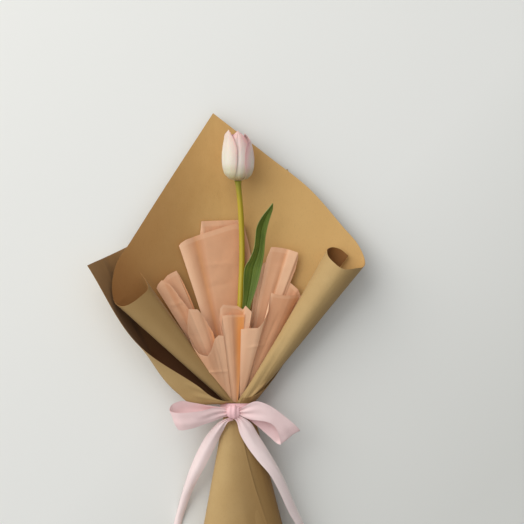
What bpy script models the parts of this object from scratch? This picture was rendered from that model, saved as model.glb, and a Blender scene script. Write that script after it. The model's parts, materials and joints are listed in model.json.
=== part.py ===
"""A single cut tulip in a hand-tied paper wrap, lying on its back.

Two kraft sheets and nine leaves of peach tissue are gathered round the stem at one neck, held there by a rubber
band under a ribbon with a bow.  Above the neck the sheets open into a fan with a rolled edge on each side; below
it the outer sheet closes into a conical handle, where a water tube sits on the stem's end.

Axes: +X to the right, +Y from the handle towards the bloom, +Z up from the table.  Lengths are in millimetres,
measured from the point on the table under the middle of the neck's upper edge; the last step moves the whole
bouquet so that its origin is the middle of its footprint, and scales it to metres.
"""

import math

import bmesh
import bpy
import numpy as np
from mathutils import Matrix, Vector

# ---------------------------------------------------------------- driving dimensions, mm
KRAFT_THICK = 0.5
TISSUE_THICK = 0.35
RIBBON_THICK = 0.5

NECK_TOP_Y = 2.0         # the papers are parallel between these two heights
NECK_LOW_Y = -15.0
NECK_X = 4.5
NECK_Z = 20.0
NECK_HALF_WIDTH = 17.5   # to the middle of the outer kraft sheet
NECK_HALF_DEPTH = 12.0

HANDLE_Y = -181.0        # open end of the handle
HANDLE_X = 10.6
HANDLE_Z = 30.3
HANDLE_HALF_WIDTH = 55.3
HANDLE_HALF_DEPTH = 30.0
HANDLE_LAP = 48.0        # degrees by which the outer sheet overlaps itself at the handle's end
HANDLE_TWIST = 52.0      # degrees by which its free edge slants there
INNER_SHEET_Y = -88.0    # the inner kraft sheet ends inside the handle
TISSUE_END_Y = -42.0

STEM_RADIUS = 3.3
STEM_X = 0.8             # where the stem crosses the neck
STEM_LEAN = 0.045        # sideways run per unit of length
STEM_Z = 21.0
STEM_END_Y = -120.0
STEM_STRAIGHT_Y = 150.0

BLOOM_BASE = (3.4, 245.5, 38.5)
BLOOM_LENGTH = 55.0
BLOOM_RADIUS = 18.0
TEPAL_THICK = 0.8
TEPAL_GAP = 0.5

TUBE_RADIUS = 9.5
TUBE_WALL = 1.2
TUBE_TOP_Y = -78.0
TUBE_END_Y = -158.0
CAP_LENGTH = 9.0

BAND_THICK = 1.2
BAND_WIDTH = 3.0

STEM_AXIS = Vector((STEM_LEAN, 1.0, 0.0)).normalized()
TURN_WEIGHT = 1.5                 # millimetres of edge that count as much as a degree of turn
PUFF_AT = (0.0, 0.2, 0.55, 1.0)   # heights on a sheet, from the neck to its edge, where its billow is given


# ---------------------------------------------------------------- Blender helpers
def material(name, colour, roughness, metallic=0.0):
    """A Principled material."""
    made = bpy.data.materials.new(name)
    made.use_nodes = True
    shader = made.node_tree.nodes["Principled BSDF"]
    shader.inputs["Base Color"].default_value = (*colour, 1.0)
    shader.inputs["Roughness"].default_value = roughness
    shader.inputs["Metallic"].default_value = metallic
    return made


def add_object(name, points, faces, look, smooth=True):
    """A mesh object of that name, its faces pointing out."""
    mesh = bpy.data.meshes.new(name)
    mesh.from_pydata([tuple(p) for p in points], [], [tuple(f) for f in faces])
    solid = bmesh.new()
    solid.from_mesh(mesh)
    bmesh.ops.recalc_face_normals(solid, faces=solid.faces)
    solid.to_mesh(mesh)
    solid.free()
    if smooth:
        mesh.shade_smooth()
        mesh.set_sharp_from_angle(angle=math.radians(50))
    mesh.materials.append(look)
    made = bpy.data.objects.new(name, mesh)
    bpy.context.collection.objects.link(made)
    return made


def grid_faces(rows, columns, wrap=False):
    """Quads of a grid of points stored row by row; wrap joins the last column to the first."""
    faces = []
    for i in range(rows - 1):
        for j in range(columns if wrap else columns - 1):
            k = (j + 1) % columns
            faces.append((i * columns + j, i * columns + k, (i + 1) * columns + k, (i + 1) * columns + j))
    return faces


def add_sheet(name, grid, thickness, look):
    """A thin closed solid round a grid of points."""
    rows, columns = grid.shape[:2]
    sheet = add_object(name, grid.reshape(-1, 3), grid_faces(rows, columns), look)
    solidify = sheet.modifiers.new("thickness", "SOLIDIFY")
    solidify.thickness = thickness
    solidify.offset = 0.0
    solidify.use_even_offset = True
    return sheet


def add_turned(name, profile, start, axis, sides, look, closed=False):
    """A solid turned about an axis from (distance along, radius) points; closed joins the last to the first."""
    along = Vector(axis).normalized()
    across = along.orthogonal().normalized()
    third = along.cross(across)
    points = []
    for length, radius in profile:
        for k in range(sides):
            turn = 2 * math.pi * k / sides
            ring = across * math.cos(turn) + third * math.sin(turn)
            points.append(Vector(start) + along * length + ring * radius)
    faces = grid_faces(len(profile), sides, wrap=True)
    last = (len(profile) - 1) * sides
    if closed:
        faces += [(last + k, last + (k + 1) % sides, (k + 1) % sides, k) for k in range(sides)]
    else:
        faces += [tuple(range(sides)), tuple(last + k for k in range(sides))]
    return add_object(name, points, faces, look)


def add_tube(name, centres, radii, sides, look):
    """A round bar along a line of points."""
    centres = [Vector(c) for c in centres]
    points = []
    side = Vector((1.0, 0.0, 0.0))
    for k, centre in enumerate(centres):
        before, after = centres[max(k - 1, 0)], centres[min(k + 1, len(centres) - 1)]
        along = (after - before).normalized()
        side = (side - along * side.dot(along)).normalized()
        up = along.cross(side)
        for n in range(sides):
            turn = 2 * math.pi * n / sides
            points.append(centre + (side * math.cos(turn) + up * math.sin(turn)) * radii[k])
    last = (len(centres) - 1) * sides
    faces = grid_faces(len(centres), sides, wrap=True)
    faces += [tuple(range(sides)), tuple(last + n for n in range(sides))]
    return add_object(name, points, faces, look)


# ---------------------------------------------------------------- curves
def smooth(knots, values, at, corners=()):
    """Cubic curve through the values at the knots; it turns sharply at the knots listed as corners."""
    knots, values, at = np.asarray(knots, float), np.asarray(values, float), np.asarray(at, float)
    step = np.diff(knots)
    slope = np.diff(values, axis=0) / step[:, None]
    leave, arrive = slope.copy(), slope.copy()
    for k in range(1, len(knots) - 1):
        if k not in corners:
            mixed = (slope[k - 1] * step[k] + slope[k] * step[k - 1]) / (step[k - 1] + step[k])
            leave[k] = arrive[k - 1] = mixed
    i = np.clip(np.searchsorted(knots, at, side="right") - 1, 0, len(step) - 1)
    h = step[i][:, None]
    t = ((at - knots[i]) / step[i])[:, None]
    start = values[i] * (1 + 2 * t) * (1 - t) ** 2 + leave[i] * h * t * (1 - t) ** 2
    end = values[i + 1] * t * t * (3 - 2 * t) - arrive[i] * h * t * t * (1 - t)
    return start + end


def spread(points, turns=None):
    """Knot values from 0 to 1 in proportion to the distance between the points, and to any turn between them."""
    run = np.linalg.norm(np.diff(np.asarray(points, float), axis=0), axis=1)
    if turns is not None:
        run = run + TURN_WEIGHT * np.diff(turns)
    along = np.concatenate([[0.0], np.cumsum(np.maximum(run, 1.0))])
    return along / along[-1]


def samples(knots, count, corners):
    """Even values from 0 to 1, each corner's own knot among them."""
    at = np.linspace(0.0, 1.0, count)
    for k in corners:
        at[np.argmin(abs(at - knots[k]))] = knots[k]
    return at


# ---------------------------------------------------------------- gathered paper
def ring(y, angle, inset):
    """A point on the elliptical cross-section at a height on the neck or the handle."""
    share = max(0.0, (NECK_LOW_Y - y) / (NECK_LOW_Y - HANDLE_Y))
    half_width = NECK_HALF_WIDTH + share * (HANDLE_HALF_WIDTH - NECK_HALF_WIDTH) - inset
    half_depth = NECK_HALF_DEPTH + share * (HANDLE_HALF_DEPTH - NECK_HALF_DEPTH) - inset
    x = NECK_X + share * (HANDLE_X - NECK_X) + half_width * math.cos(math.radians(angle))
    z = NECK_Z + share * (HANDLE_Z - NECK_Z) + half_depth * math.sin(math.radians(angle))
    return (x, y, z)


def gathered(sections, edge, near, far, columns, rows, turns=None, corners=()):
    """Grid of points of a sheet pulled through the neck.

    sections are its cross-sections from its lower end up to the neck's top, edge is its upper edge, near and
    far push it sideways at the heights in PUFF_AT, and turns are the angles round the neck.
    """
    knots = spread(edge, turns)
    at = samples(knots, columns, corners)
    near, far = smooth(knots, near, at), smooth(knots, far, at)
    edge = smooth(knots, edge, at, corners)
    grid = [smooth(knots, section, at) for section in sections]
    neck = grid.pop()
    for t in np.linspace(0.0, 1.0, rows + 1) ** 1.25:
        push = smooth(PUFF_AT, [[0.0, 0.0], [1.0, 0.0], [0.0, 1.0], [0.0, 0.0]], [t])[0]
        grid.append(neck + t * (edge - neck) + push[0] * near + push[1] * far)
    return np.array(grid).transpose(1, 0, 2)


# one line per pull of paper: angle round the neck, inset there, upper edge point, dip below a straight pull
INNER_KRAFT = [
    (113, 2.9, (-104.0, 145.0, 30.0), 0.0),
    (116, 2.6, (-98.0, 137.0, 41.0), 0.0),
    (121, 2.1, (-95.0, 127.0, 50.0), 0.0),
    (128, 1.9, (-103.0, 118.5, 55.0), 0.0),
    (138, 1.9, (-114.0, 110.5, 56.0), 0.0),
    (150, 1.9, (-123.2, 107.5, 53.5), 0.0),
    (164, 1.9, (-131.0, 111.0, 48.0), 0.0),
    (178, 1.9, (-134.4, 124.0, 42.0), 0.0),
    (192, 1.9, (-133.5, 141.0, 36.0), 0.5),
    (204, 1.9, (-128.7, 157.3, 31.0), 1.5),
    (216, 1.9, (-118.1, 173.5, 27.0), 3.0),
    (236, 1.9, (-85.0, 226.0, 22.0), 3.4),
    (268, 1.9, (-24.2, 320.1, 15.0), 1.6),
    (292, 1.9, (37.7, 271.9, 14.0), 1.6),
    (310, 1.9, (82.4, 236.3, 17.0), 2.6),
    (326, 1.9, (119.7, 193.9, 20.0), 3.0),
    (340, 1.9, (135.1, 175.8, 24.0), 2.4),
    (352, 1.9, (142.0, 160.5, 31.0), 1.0),
    (363, 1.9, (141.4, 152.0, 42.0), 0.0),
    (378, 1.9, (133.0, 149.5, 52.0), 0.0),
    (396, 1.9, (121.0, 150.8, 57.5), 0.0),
    (416, 1.9, (109.8, 156.8, 55.0), 0.0),
    (436, 1.9, (101.0, 165.0, 46.0), 0.0),
    (447, 2.1, (100.5, 170.0, 36.0), 0.0),
    (452, 2.5, (105.0, 170.0, 28.5), 0.0),
    (456, 2.7, (112.0, 166.0, 25.0), 0.0),
    (459, 2.9, (119.0, 160.0, 24.5), 0.0),
]
INNER_APEX = 12

# the same, with the billow near the neck and half way up
OUTER_KRAFT = [
    (88, (-160.7, 152.6, 60.0), (-11.7, -12.3, 0.0), (-18.6, -19.6, -2.0)),
    (120, (-154.0, 156.0, 45.0), (-19.6, -18.8, 2.7), (-18.8, -21.2, -2.0)),
    (165, (-147.0, 159.3, 31.0), (-23.5, -21.4, 3.5), (-16.5, -20.5, -1.0)),
    (200, (-139.0, 163.2, 18.0), (-14.5, -16.0, 1.0), (-14.0, -16.0, -2.0)),
    (214, (-129.0, 168.0, 10.0), (-8.0, -9.0, -1.0), (-9.0, -10.0, -2.0)),
    (228, (-115.0, 175.0, 6.0), (-4.0, -5.0, -1.0), (-5.0, -6.0, -1.5)),
    (250, (-60.0, 201.0, 4.0), (0.0, 0.0, 0.0), (0.0, 0.0, 0.0)),
    (270, (0.0, 230.5, 2.5), (0.0, 0.0, 0.0), (0.0, 0.0, 0.0)),
    (290, (57.8, 259.0, 1.5), (0.0, 0.0, 0.0), (0.0, 0.0, 0.0)),
    (308, (82.0, 200.0, 3.0), (0.0, 0.0, 0.0), (0.0, 0.0, 0.0)),
    (325, (92.0, 141.0, 6.0), (0.0, 0.0, 0.0), (0.0, 0.0, 0.0)),
    (342, (71.0, 79.0, 11.0), (0.0, 0.0, 0.0), (0.0, 0.0, 0.0)),
    (360, (48.5, 36.0, 17.0), (0.0, 0.0, 0.0), (0.0, 0.0, 0.0)),
    (380, (34.3, 18.3, 27.6), (0.0, 0.0, 0.0), (0.0, 0.0, 0.0)),
    (400, (24.6, 10.9, 30.1), (0.0, 0.0, 0.0), (0.0, 0.0, 0.0)),
    (425, (15.3, 7.5, 31.6), (0.0, 0.0, 0.0), (0.0, 0.0, 0.0)),
    (448, (7.9, 7.1, 31.8), (0.0, 0.0, 0.0), (0.0, 0.0, 0.0)),
]
OUTER_CORNER = 8


def heights(low_y, low_rows):
    """Heights of a sheet's cross-sections from its lower end to the neck's top."""
    return [*np.linspace(low_y, NECK_LOW_Y, low_rows + 1), NECK_TOP_Y]


def inner_kraft(columns, rows, low_rows):
    """The inner sheet: a square on its corner, its left and right corners rolled in."""
    sections = []
    for y in heights(INNER_SHEET_Y, low_rows):
        shrink = 0.8 * max(0.0, (NECK_LOW_Y - y) / (NECK_LOW_Y - INNER_SHEET_Y))
        sections.append([ring(y, angle, inset + shrink) for angle, inset, *_ in INNER_KRAFT])
    edge = [pull[2] for pull in INNER_KRAFT]
    near = [(0.0, 0.0, -0.6 * pull[3]) for pull in INNER_KRAFT]
    far = [(0.0, 0.0, -pull[3]) for pull in INNER_KRAFT]
    turns = [pull[0] for pull in INNER_KRAFT]
    return gathered(sections, edge, near, far, columns, rows, turns, (INNER_APEX,))


def outer_kraft(columns, rows, low_rows):
    """The outer sheet: it puffs out on the left, lies behind the inner sheet, and closes into the handle."""
    first = OUTER_KRAFT[0][0]
    sections = []
    for y in heights(HANDLE_Y, low_rows):
        down = max(0.0, (NECK_LOW_Y - y) / (NECK_LOW_Y - HANDLE_Y))
        section = []
        for angle, *_ in OUTER_KRAFT:
            turn = (angle - first) / 360.0
            inset = turn * (1.0 + down) - 0.2
            section.append(ring(y, angle + down * (turn * HANDLE_LAP - HANDLE_TWIST), inset))
        sections.append(section)
    edge = [pull[1] for pull in OUTER_KRAFT]
    near = [pull[2] for pull in OUTER_KRAFT]
    far = [pull[3] for pull in OUTER_KRAFT]
    turns = [pull[0] for pull in OUTER_KRAFT]
    return gathered(sections, edge, near, far, columns, rows, turns, (OUTER_CORNER,))


# name: (left and right end in the neck, height there, upper edge points)
TISSUES = {
    "tissue_rear": (-3.0, 2.6, 11.6, [(-38.3, 187.9, 17.0), (-36.7, 201.0, 17.5), (-18.0, 202.0, 16.0),
                                      (1.4, 202.5, 14.5)]),
    "tissue_back": (-4.8, 5.2, 12.9, [(-61.8, 173.9, 22.0), (-55.0, 180.1, 20.5),
                                      (-36.4, 187.1, 18.0), (-24.0, 191.0, 19.5), (-8.6, 196.4, 17.0),
                                      (8.8, 196.9, 16.5), (17.6, 162.8, 16.5)]),
    "tissue_left_rear": (-6.6, -3.0, 14.2, [(-79.6, 136.8, 25.0), (-74.3, 141.5, 25.0), (-63.4, 147.0, 24.5),
                                            (-59.5, 139.9, 23.5), (-48.0, 115.3, 21.0)]),
    "tissue_left": (-8.2, -3.6, 16.0, [(-83.5, 121.5, 29.0), (-86.2, 130.7, 29.0), (-79.6, 136.8, 30.0),
                                        (-70.4, 132.2, 33.0), (-56.4, 116.1, 32.0), (-48.0, 105.3, 30.0)]),
    "tissue_front_left": (-9.4, -5.2, 21.6, [(-51.9, 88.0, 33.0), (-50.1, 103.7, 36.0), (-40.3, 105.3, 38.0),
                                             (-27.0, 90.0, 36.0), (-20.7, 76.0, 33.0), (-14.5, 75.2, 29.5)]),
    "tissue_centre": (-2.6, 3.0, 25.2, [(-17.6, 95.7, 36.0), (-16.1, 111.1, 37.0), (-4.0, 106.0, 35.0),
                                        (11.3, 108.0, 34.0), (18.7, 101.1, 33.0), (18.7, 84.8, 31.0)]),
    "tissue_right_front": (5.6, 8.0, 25.4, [(7.0, 83.3, 38.0), (24.9, 84.8, 38.0), (35.0, 95.0, 39.0),
                                            (43.0, 108.0, 39.0)]),
    "tissue_right_low": (6.4, 13.0, 16.0, [(39.5, 122.1, 27.0), (48.0, 119.9, 28.0), (58.5, 119.2, 27.0),
                                           (66.9, 119.2, 26.0)]),
    "tissue_right": (3.4, 10.0, 14.4, [(30.5, 152.2, 20.5), (38.8, 162.8, 21.0), (42.4, 174.0, 22.0), (51.5, 172.6, 23.0),
                                       (66.9, 169.1, 22.0), (66.2, 147.3, 22.0), (59.8, 120.7, 20.5)]),
}


def tissue(name, columns, rows):
    """One leaf of tissue, a narrow pleated strip in the neck and a fan above it."""
    left, right, height, edge = TISSUES[name]
    knots = spread(edge)
    across = [left + share * (right - left) for share in knots]
    sections = [[(x, y, height) for x in across] for y in heights(TISSUE_END_Y, 1)]
    still = [(0.0, 0.0, 0.0)] * len(edge)
    return gathered(sections, edge, still, still, columns, rows)


# ---------------------------------------------------------------- flower
def stem_points(count):
    """Centre line of the stem from its cut end to the bloom: straight in the wrap, lifting above it."""
    straight = [(STEM_X + STEM_LEAN * y, y, STEM_Z) for y in (STEM_END_Y, 0.0, 130.0, STEM_STRAIGHT_Y)]
    route = straight + [(7.6, 180.0, 23.5), (6.2, 214.0, 30.0), BLOOM_BASE]
    return smooth(spread(route), route, np.linspace(0.0, 1.0, count))


def leaf_grid(columns, rows):
    """The leaf: it clasps the stem above the tie, rises beside it and twists towards its tip."""
    middle = [(6.2, 66.0, 25.3), (9.0, 86.0, 26.3), (13.0, 110.0, 27.5), (18.5, 135.0, 29.0),
              (25.5, 160.0, 31.5), (28.5, 185.0, 36.0), (35.0, 206.0, 42.0), (41.4, 220.0, 46.0)]
    width = [1.2, 4.5, 8.0, 10.5, 11.0, 9.0, 6.0, 0.6]
    knots = spread(middle)
    at = np.linspace(0.0, 1.0, rows)
    line = smooth(knots, middle, at)
    half = smooth(knots, [[w * 0.72] for w in width], at)[:, 0]
    grid = np.empty((columns, rows, 3))
    for j, across in enumerate(np.linspace(-1.0, 1.0, columns)):
        grid[j] = line
        grid[j, :, 0] += across * half
        grid[j, :, 2] += 3.0 * abs(across) ** 2 * np.sin(at * math.pi) + across * 2.0 * at
    return grid


def tepal_grid(middle_angle, half_angle, radius, length, columns, rows):
    """One tepal as a patch of the egg-shaped bloom, its tip drawn in to a point."""
    grid = []
    for u in np.linspace(-1.0, 1.0, columns):
        row = []
        for v in np.linspace(0.06, 1.0, rows):
            reach = radius * math.sin(math.pi * min(0.04 + 0.9 * v ** 0.86, 1.0)) ** 0.62
            narrow = math.sqrt(max(1.0 - max(0.0, (v - 0.45) / 0.55) ** 2.4, 0.012))
            turn = math.radians(middle_angle + u * half_angle * narrow)
            row.append((reach * math.cos(turn), v * length, reach * math.sin(turn)))
        grid.append(row)
    return np.array(grid) + np.array(BLOOM_BASE)


def add_flower(looks):
    """The tulip: stem, leaf, six tepals, pistil and stamens."""
    centres = stem_points(40)
    radii = [STEM_RADIUS] * 36 + [STEM_RADIUS + 0.2, STEM_RADIUS + 0.5, STEM_RADIUS + 0.8, STEM_RADIUS + 0.8]
    add_tube("tulip_stem", centres, radii, 12, looks["stem"])
    add_sheet("tulip_leaf", leaf_grid(7, 16), 0.7, looks["leaf"])
    for k in range(3):
        outer = tepal_grid(75 + 120 * k, 57, BLOOM_RADIUS - TEPAL_THICK, BLOOM_LENGTH, 9, 10)
        add_sheet(f"tepal_outer_{k + 1}", outer, TEPAL_THICK, looks["petal"])
        inner_radius = BLOOM_RADIUS - 2 * TEPAL_THICK - TEPAL_GAP - 1.2
        inner = tepal_grid(15 + 120 * k, 55, inner_radius, BLOOM_LENGTH - 3.0, 9, 10)
        add_sheet(f"tepal_inner_{k + 1}", inner, TEPAL_THICK, looks["petal"])
    base = Vector(BLOOM_BASE)
    lift = Vector((0.0, 1.6, 0.0))
    pistil = [(0.0, 2.2), (9.0, 2.6), (15.0, 2.0), (16.5, 3.4), (18.5, 3.2), (19.2, 1.2)]
    add_turned("pistil", pistil, base + lift, (0.0, 1.0, 0.0), 10, looks["pistil"])
    for k in range(6):
        turn = math.radians(30 + 60 * k)
        out = Vector((math.cos(turn), 0.0, math.sin(turn)))
        stamen = [(0.0, 0.45), (9.0, 0.5), (10.0, 1.0), (17.0, 1.1), (19.0, 0.4)]
        axis = Vector((0.0, 1.0, 0.0)) + out * 0.08
        add_turned(f"stamen_{k + 1}", stamen, base + lift + out * 4.4, axis, 6, looks["anther"])


# ---------------------------------------------------------------- things on the stem and the neck
def add_water_tube(looks):
    """The tube of water on the cut end, and its cap with a hole for the stem."""
    start = Vector((STEM_X, 0.0, STEM_Z))
    length = TUBE_TOP_Y - TUBE_END_Y
    inner = TUBE_RADIUS - TUBE_WALL
    profile = [(0.0, inner), (length - 9.0, inner), (length - 3.5, inner * 0.7), (length - 1.5, 1.0),
               (length, 1.0), (length - 1.6, TUBE_RADIUS * 0.72), (length - 8.0, TUBE_RADIUS), (0.0, TUBE_RADIUS)]
    top = start + STEM_AXIS * TUBE_TOP_Y
    add_turned("water_tube", profile, top, -STEM_AXIS, 20, looks["tube"], closed=True)
    hole = STEM_RADIUS + 0.35
    rim = TUBE_RADIUS + 1.8
    cap = [(-2.0, hole), (0.3, hole), (0.3, rim - 1.5), (CAP_LENGTH - 2.0, rim - 1.5), (CAP_LENGTH - 2.0, rim),
           (-1.0, rim), (-2.0, rim - 1.0)]
    cap = [(length_along - 0.6, radius) for length_along, radius in cap]
    add_turned("water_tube_cap", cap, top, -STEM_AXIS, 20, looks["cap"], closed=True)


def oval(grow, y, sides):
    """Points of the neck's outline grown outwards by a distance."""
    return [ring(y, 360.0 * k / sides, -grow) for k in range(sides)]


def add_hoop(name, inside, outside, low_y, high_y, sides, look):
    """A band round the neck between two distances from the outer sheet."""
    points = oval(inside, low_y, sides) + oval(inside, high_y, sides)
    points += oval(outside, high_y, sides) + oval(outside, low_y, sides)
    faces = grid_faces(4, sides, wrap=True)
    faces += [(3 * sides + k, 3 * sides + (k + 1) % sides, (k + 1) % sides, k) for k in range(sides)]
    return add_object(name, points, faces, look)


def strip_grid(left, right, rows):
    """A ribbon between two edges, each given by a few points."""
    knots = spread((np.array(left) + np.array(right)) / 2)
    at = np.linspace(0.0, 1.0, rows)
    edges = [smooth(knots, left, at), smooth(knots, right, at)]
    return np.array([edges[0] + share * (edges[1] - edges[0]) for share in np.linspace(0.0, 1.0, 4)])


RIBBONS = {
    # name: (one edge, other edge)
    "ribbon_loop_left": (
        [(-10.6, -0.6, 38.6), (-24.0, -4.0, 45.0), (-48.0, -4.5, 50.0), (-65.0, -9.0, 46.5), (-71.5, -5.0, 41.0),
         (-62.0, 1.6, 37.5), (-40.0, 0.5, 36.0), (-11.0, -1.5, 36.2)],
        [(-10.6, -14.5, 39.6), (-28.0, -20.0, 44.0), (-46.0, -26.0, 47.0), (-60.0, -25.5, 44.0),
         (-69.5, -20.0, 40.0), (-62.0, -15.0, 36.8), (-40.0, -14.0, 35.8), (-11.0, -13.0, 36.6)]),
    "ribbon_loop_right": (
        [(7.4, -1.5, 38.6), (22.0, 3.0, 45.0), (38.0, 0.0, 50.0), (54.0, -11.5, 48.0), (70.5, -26.0, 42.0),
         (60.0, -20.0, 36.5), (38.0, -9.0, 36.0), (7.6, -3.0, 36.2)],
        [(7.4, -12.0, 39.6), (20.0, -14.5, 43.5), (33.0, -18.5, 46.5), (44.0, -29.5, 45.0), (50.5, -43.0, 41.0),
         (42.0, -38.0, 36.8), (28.0, -26.0, 35.8), (7.6, -13.0, 36.6)]),
    "ribbon_tail_left": (
        [(-9.0, -17.6, 36.5), (-29.9, -33.6, 31.0), (-40.4, -49.4, 26.0), (-48.8, -68.3, 20.0),
         (-56.2, -87.2, 13.0), (-62.5, -108.4, 6.0), (-66.7, -126.3, 2.4), (-72.0, -155.0, 1.2),
         (-79.0, -178.0, 1.2)],
        [(-2.6, -17.6, 36.8), (-19.4, -40.9, 31.5), (-28.8, -57.9, 30.5), (-38.3, -73.6, 26.0),
         (-46.8, -94.6, 17.0), (-54.1, -112.5, 9.0), (-60.0, -129.4, 3.6), (-64.0, -158.0, 1.2),
         (-66.0, -186.0, 1.2)]),
    "ribbon_tail_right": (
        [(-1.4, -17.6, 37.5), (12.8, -44.9, 44.0), (22.8, -57.9, 46.0), (36.0, -75.7, 46.0), (49.1, -94.6, 41.0),
         (64.9, -131.5, 31.0), (76.0, -160.0, 14.0), (84.0, -186.0, 4.0)],
        [(4.6, -17.6, 37.2), (26.0, -32.6, 40.5), (37.5, -52.6, 39.0), (48.1, -68.3, 36.0), (57.5, -86.2, 30.0),
         (74.4, -126.3, 19.0), (88.0, -156.0, 8.0), (97.0, -178.0, 2.0)]),
}


def add_tie(looks):
    """The rubber band, and over it one ribbon: a turn round the neck, a knot, two loops and two tails."""
    middle = (NECK_TOP_Y + NECK_LOW_Y) / 2
    inside = KRAFT_THICK / 2 + 0.2 + 0.35
    outside = inside + BAND_THICK
    add_hoop("rubber_band", inside, outside, middle - BAND_WIDTH / 2, middle + BAND_WIDTH / 2, 48, looks["rubber"])
    add_hoop("ribbon_band", outside + 0.4, outside + 0.4 + RIBBON_THICK, NECK_LOW_Y + 1.0, NECK_TOP_Y - 1.0, 48,
             looks["ribbon"])
    top = NECK_Z + NECK_HALF_DEPTH + outside + 0.4 + RIBBON_THICK
    knot = [(0.0, 2.5), (1.2, 5.2), (4.0, 6.6), (8.0, 7.0), (12.0, 6.4), (14.6, 4.8), (15.6, 2.0)]
    knot_object = add_turned("ribbon_knot", knot, (0.0, 0.0, 0.0), (1.0, 0.0, 0.0), 16, looks["ribbon"])
    squash = Matrix.Diagonal((1.0, 1.12, 0.62, 1.0))
    knot_object.data.transform(Matrix.Translation((-9.4, -8.3, top + 4.34 + 0.4)) @ squash)
    for name, (one, other) in RIBBONS.items():
        add_sheet(name, strip_grid(one, other, 26), RIBBON_THICK, looks["ribbon"])


# ---------------------------------------------------------------- the whole bouquet
def build():
    """Clear the scene, make every piece, then move the origin under the middle and scale to metres."""
    for old in list(bpy.data.objects):
        bpy.data.objects.remove(old, do_unlink=True)
    looks = {
        "kraft_inner": material("kraft_inner", (0.50, 0.31, 0.13), 0.75),
        "kraft_outer": material("kraft_outer", (0.35, 0.23, 0.10), 0.75),
        "tissue": material("tissue", (0.60, 0.30, 0.19), 0.85),
        "stem": material("stem", (0.40, 0.30, 0.03), 0.5),
        "leaf": material("leaf", (0.07, 0.09, 0.015), 0.5),
        "petal": material("petal", (0.74, 0.66, 0.56), 0.55),
        "pistil": material("pistil", (0.45, 0.48, 0.15), 0.6),
        "anther": material("anther", (0.55, 0.40, 0.08), 0.8),
        "ribbon": material("ribbon", (0.71, 0.53, 0.52), 0.35),
        "rubber": material("rubber", (0.45, 0.30, 0.14), 0.7),
        "tube": material("tube", (0.55, 0.65, 0.60), 0.2),
        "cap": material("cap", (0.10, 0.30, 0.14), 0.5),
    }
    add_sheet("kraft_inner_sheet", inner_kraft(64, 11, 2), KRAFT_THICK, looks["kraft_inner"])
    add_sheet("kraft_outer_sheet", outer_kraft(70, 12, 8), KRAFT_THICK, looks["kraft_outer"])
    for name in TISSUES:
        add_sheet(name, tissue(name, 12, 6), TISSUE_THICK, looks["tissue"])
    add_flower(looks)
    add_water_tube(looks)
    add_tie(looks)

    bpy.context.view_layer.update()
    graph = bpy.context.evaluated_depsgraph_get()
    corners = []
    for piece in bpy.data.objects:
        corners += [v.co.copy() for v in piece.evaluated_get(graph).data.vertices]
    low = Vector(min(c[k] for c in corners) for k in range(3))
    high = Vector(max(c[k] for c in corners) for k in range(3))
    origin = Vector(((low.x + high.x) / 2, (low.y + high.y) / 2, low.z))
    move = Matrix.Scale(0.001, 4) @ Matrix.Translation(-origin)
    for piece in bpy.data.objects:
        piece.data.transform(move)
        for modifier in piece.modifiers:
            modifier.thickness *= 0.001


build()
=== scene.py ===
"""Looks of a single cut tulip in a hand-tied paper wrap with a satin bow.

Every sheet is rebuilt as a fine surface over its CAD solid.  Control points are millimetres in the tie's own
frame: x to the right and y towards the bloom from the top of the neck, z up from the table.
"""

import json
import math

import bmesh
import bpy
import numpy as np
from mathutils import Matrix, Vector

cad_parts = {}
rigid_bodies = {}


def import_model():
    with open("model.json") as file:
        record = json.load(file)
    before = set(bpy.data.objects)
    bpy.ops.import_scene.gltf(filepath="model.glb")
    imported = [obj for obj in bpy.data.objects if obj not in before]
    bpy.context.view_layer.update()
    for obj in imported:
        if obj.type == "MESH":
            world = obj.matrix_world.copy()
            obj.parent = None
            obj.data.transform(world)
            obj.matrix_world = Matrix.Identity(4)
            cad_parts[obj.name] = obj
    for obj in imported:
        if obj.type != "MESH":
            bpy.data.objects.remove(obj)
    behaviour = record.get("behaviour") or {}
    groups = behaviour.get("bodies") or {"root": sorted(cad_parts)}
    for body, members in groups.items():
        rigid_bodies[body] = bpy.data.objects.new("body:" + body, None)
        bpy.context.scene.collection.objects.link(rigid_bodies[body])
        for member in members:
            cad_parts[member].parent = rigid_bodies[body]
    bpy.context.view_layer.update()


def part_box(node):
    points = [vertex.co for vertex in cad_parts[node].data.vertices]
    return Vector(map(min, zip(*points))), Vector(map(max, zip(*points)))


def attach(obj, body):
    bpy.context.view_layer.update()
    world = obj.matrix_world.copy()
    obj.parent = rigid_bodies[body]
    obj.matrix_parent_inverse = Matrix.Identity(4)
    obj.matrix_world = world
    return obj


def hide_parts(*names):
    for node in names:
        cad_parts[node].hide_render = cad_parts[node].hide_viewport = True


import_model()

# ---------------------------------------------------------------- the tie's frame
NECK_X, NECK_MIDDLE_Y, NECK_Z = 4.5, -6.5, 20.0
NECK_TOP_Y, NECK_LOW_Y = 2.0, -15.0
NECK_HALF_WIDTH, NECK_HALF_DEPTH = 17.5, 12.0
HANDLE_Y, HANDLE_X, HANDLE_Z = -181.0, 10.6, 30.3
HANDLE_HALF_WIDTH, HANDLE_HALF_DEPTH = 55.3, 30.0
HANDLE_LAP, HANDLE_TWIST = 48.0, 52.0
INNER_SHEET_Y, TISSUE_END_Y = -88.0, -42.0

band_low, band_high = (np.array(corner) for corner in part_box("ribbon_band"))
ORIGIN = (band_low + band_high) / 2 - np.array([NECK_X, NECK_MIDDLE_Y, NECK_Z]) / 1000


def place(points):
    """Millimetres in the tie's frame to metres in the CAD frame."""
    return np.asarray(points, float) / 1000 + ORIGIN


# ---------------------------------------------------------------- materials
def linear(red, green, blue):
    """An 8-bit display colour as linear light."""
    shares = [value / 255 for value in (red, green, blue)]
    return tuple(s / 12.92 if s <= 0.04045 else ((s + 0.055) / 1.055) ** 2.4 for s in shares)


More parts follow.
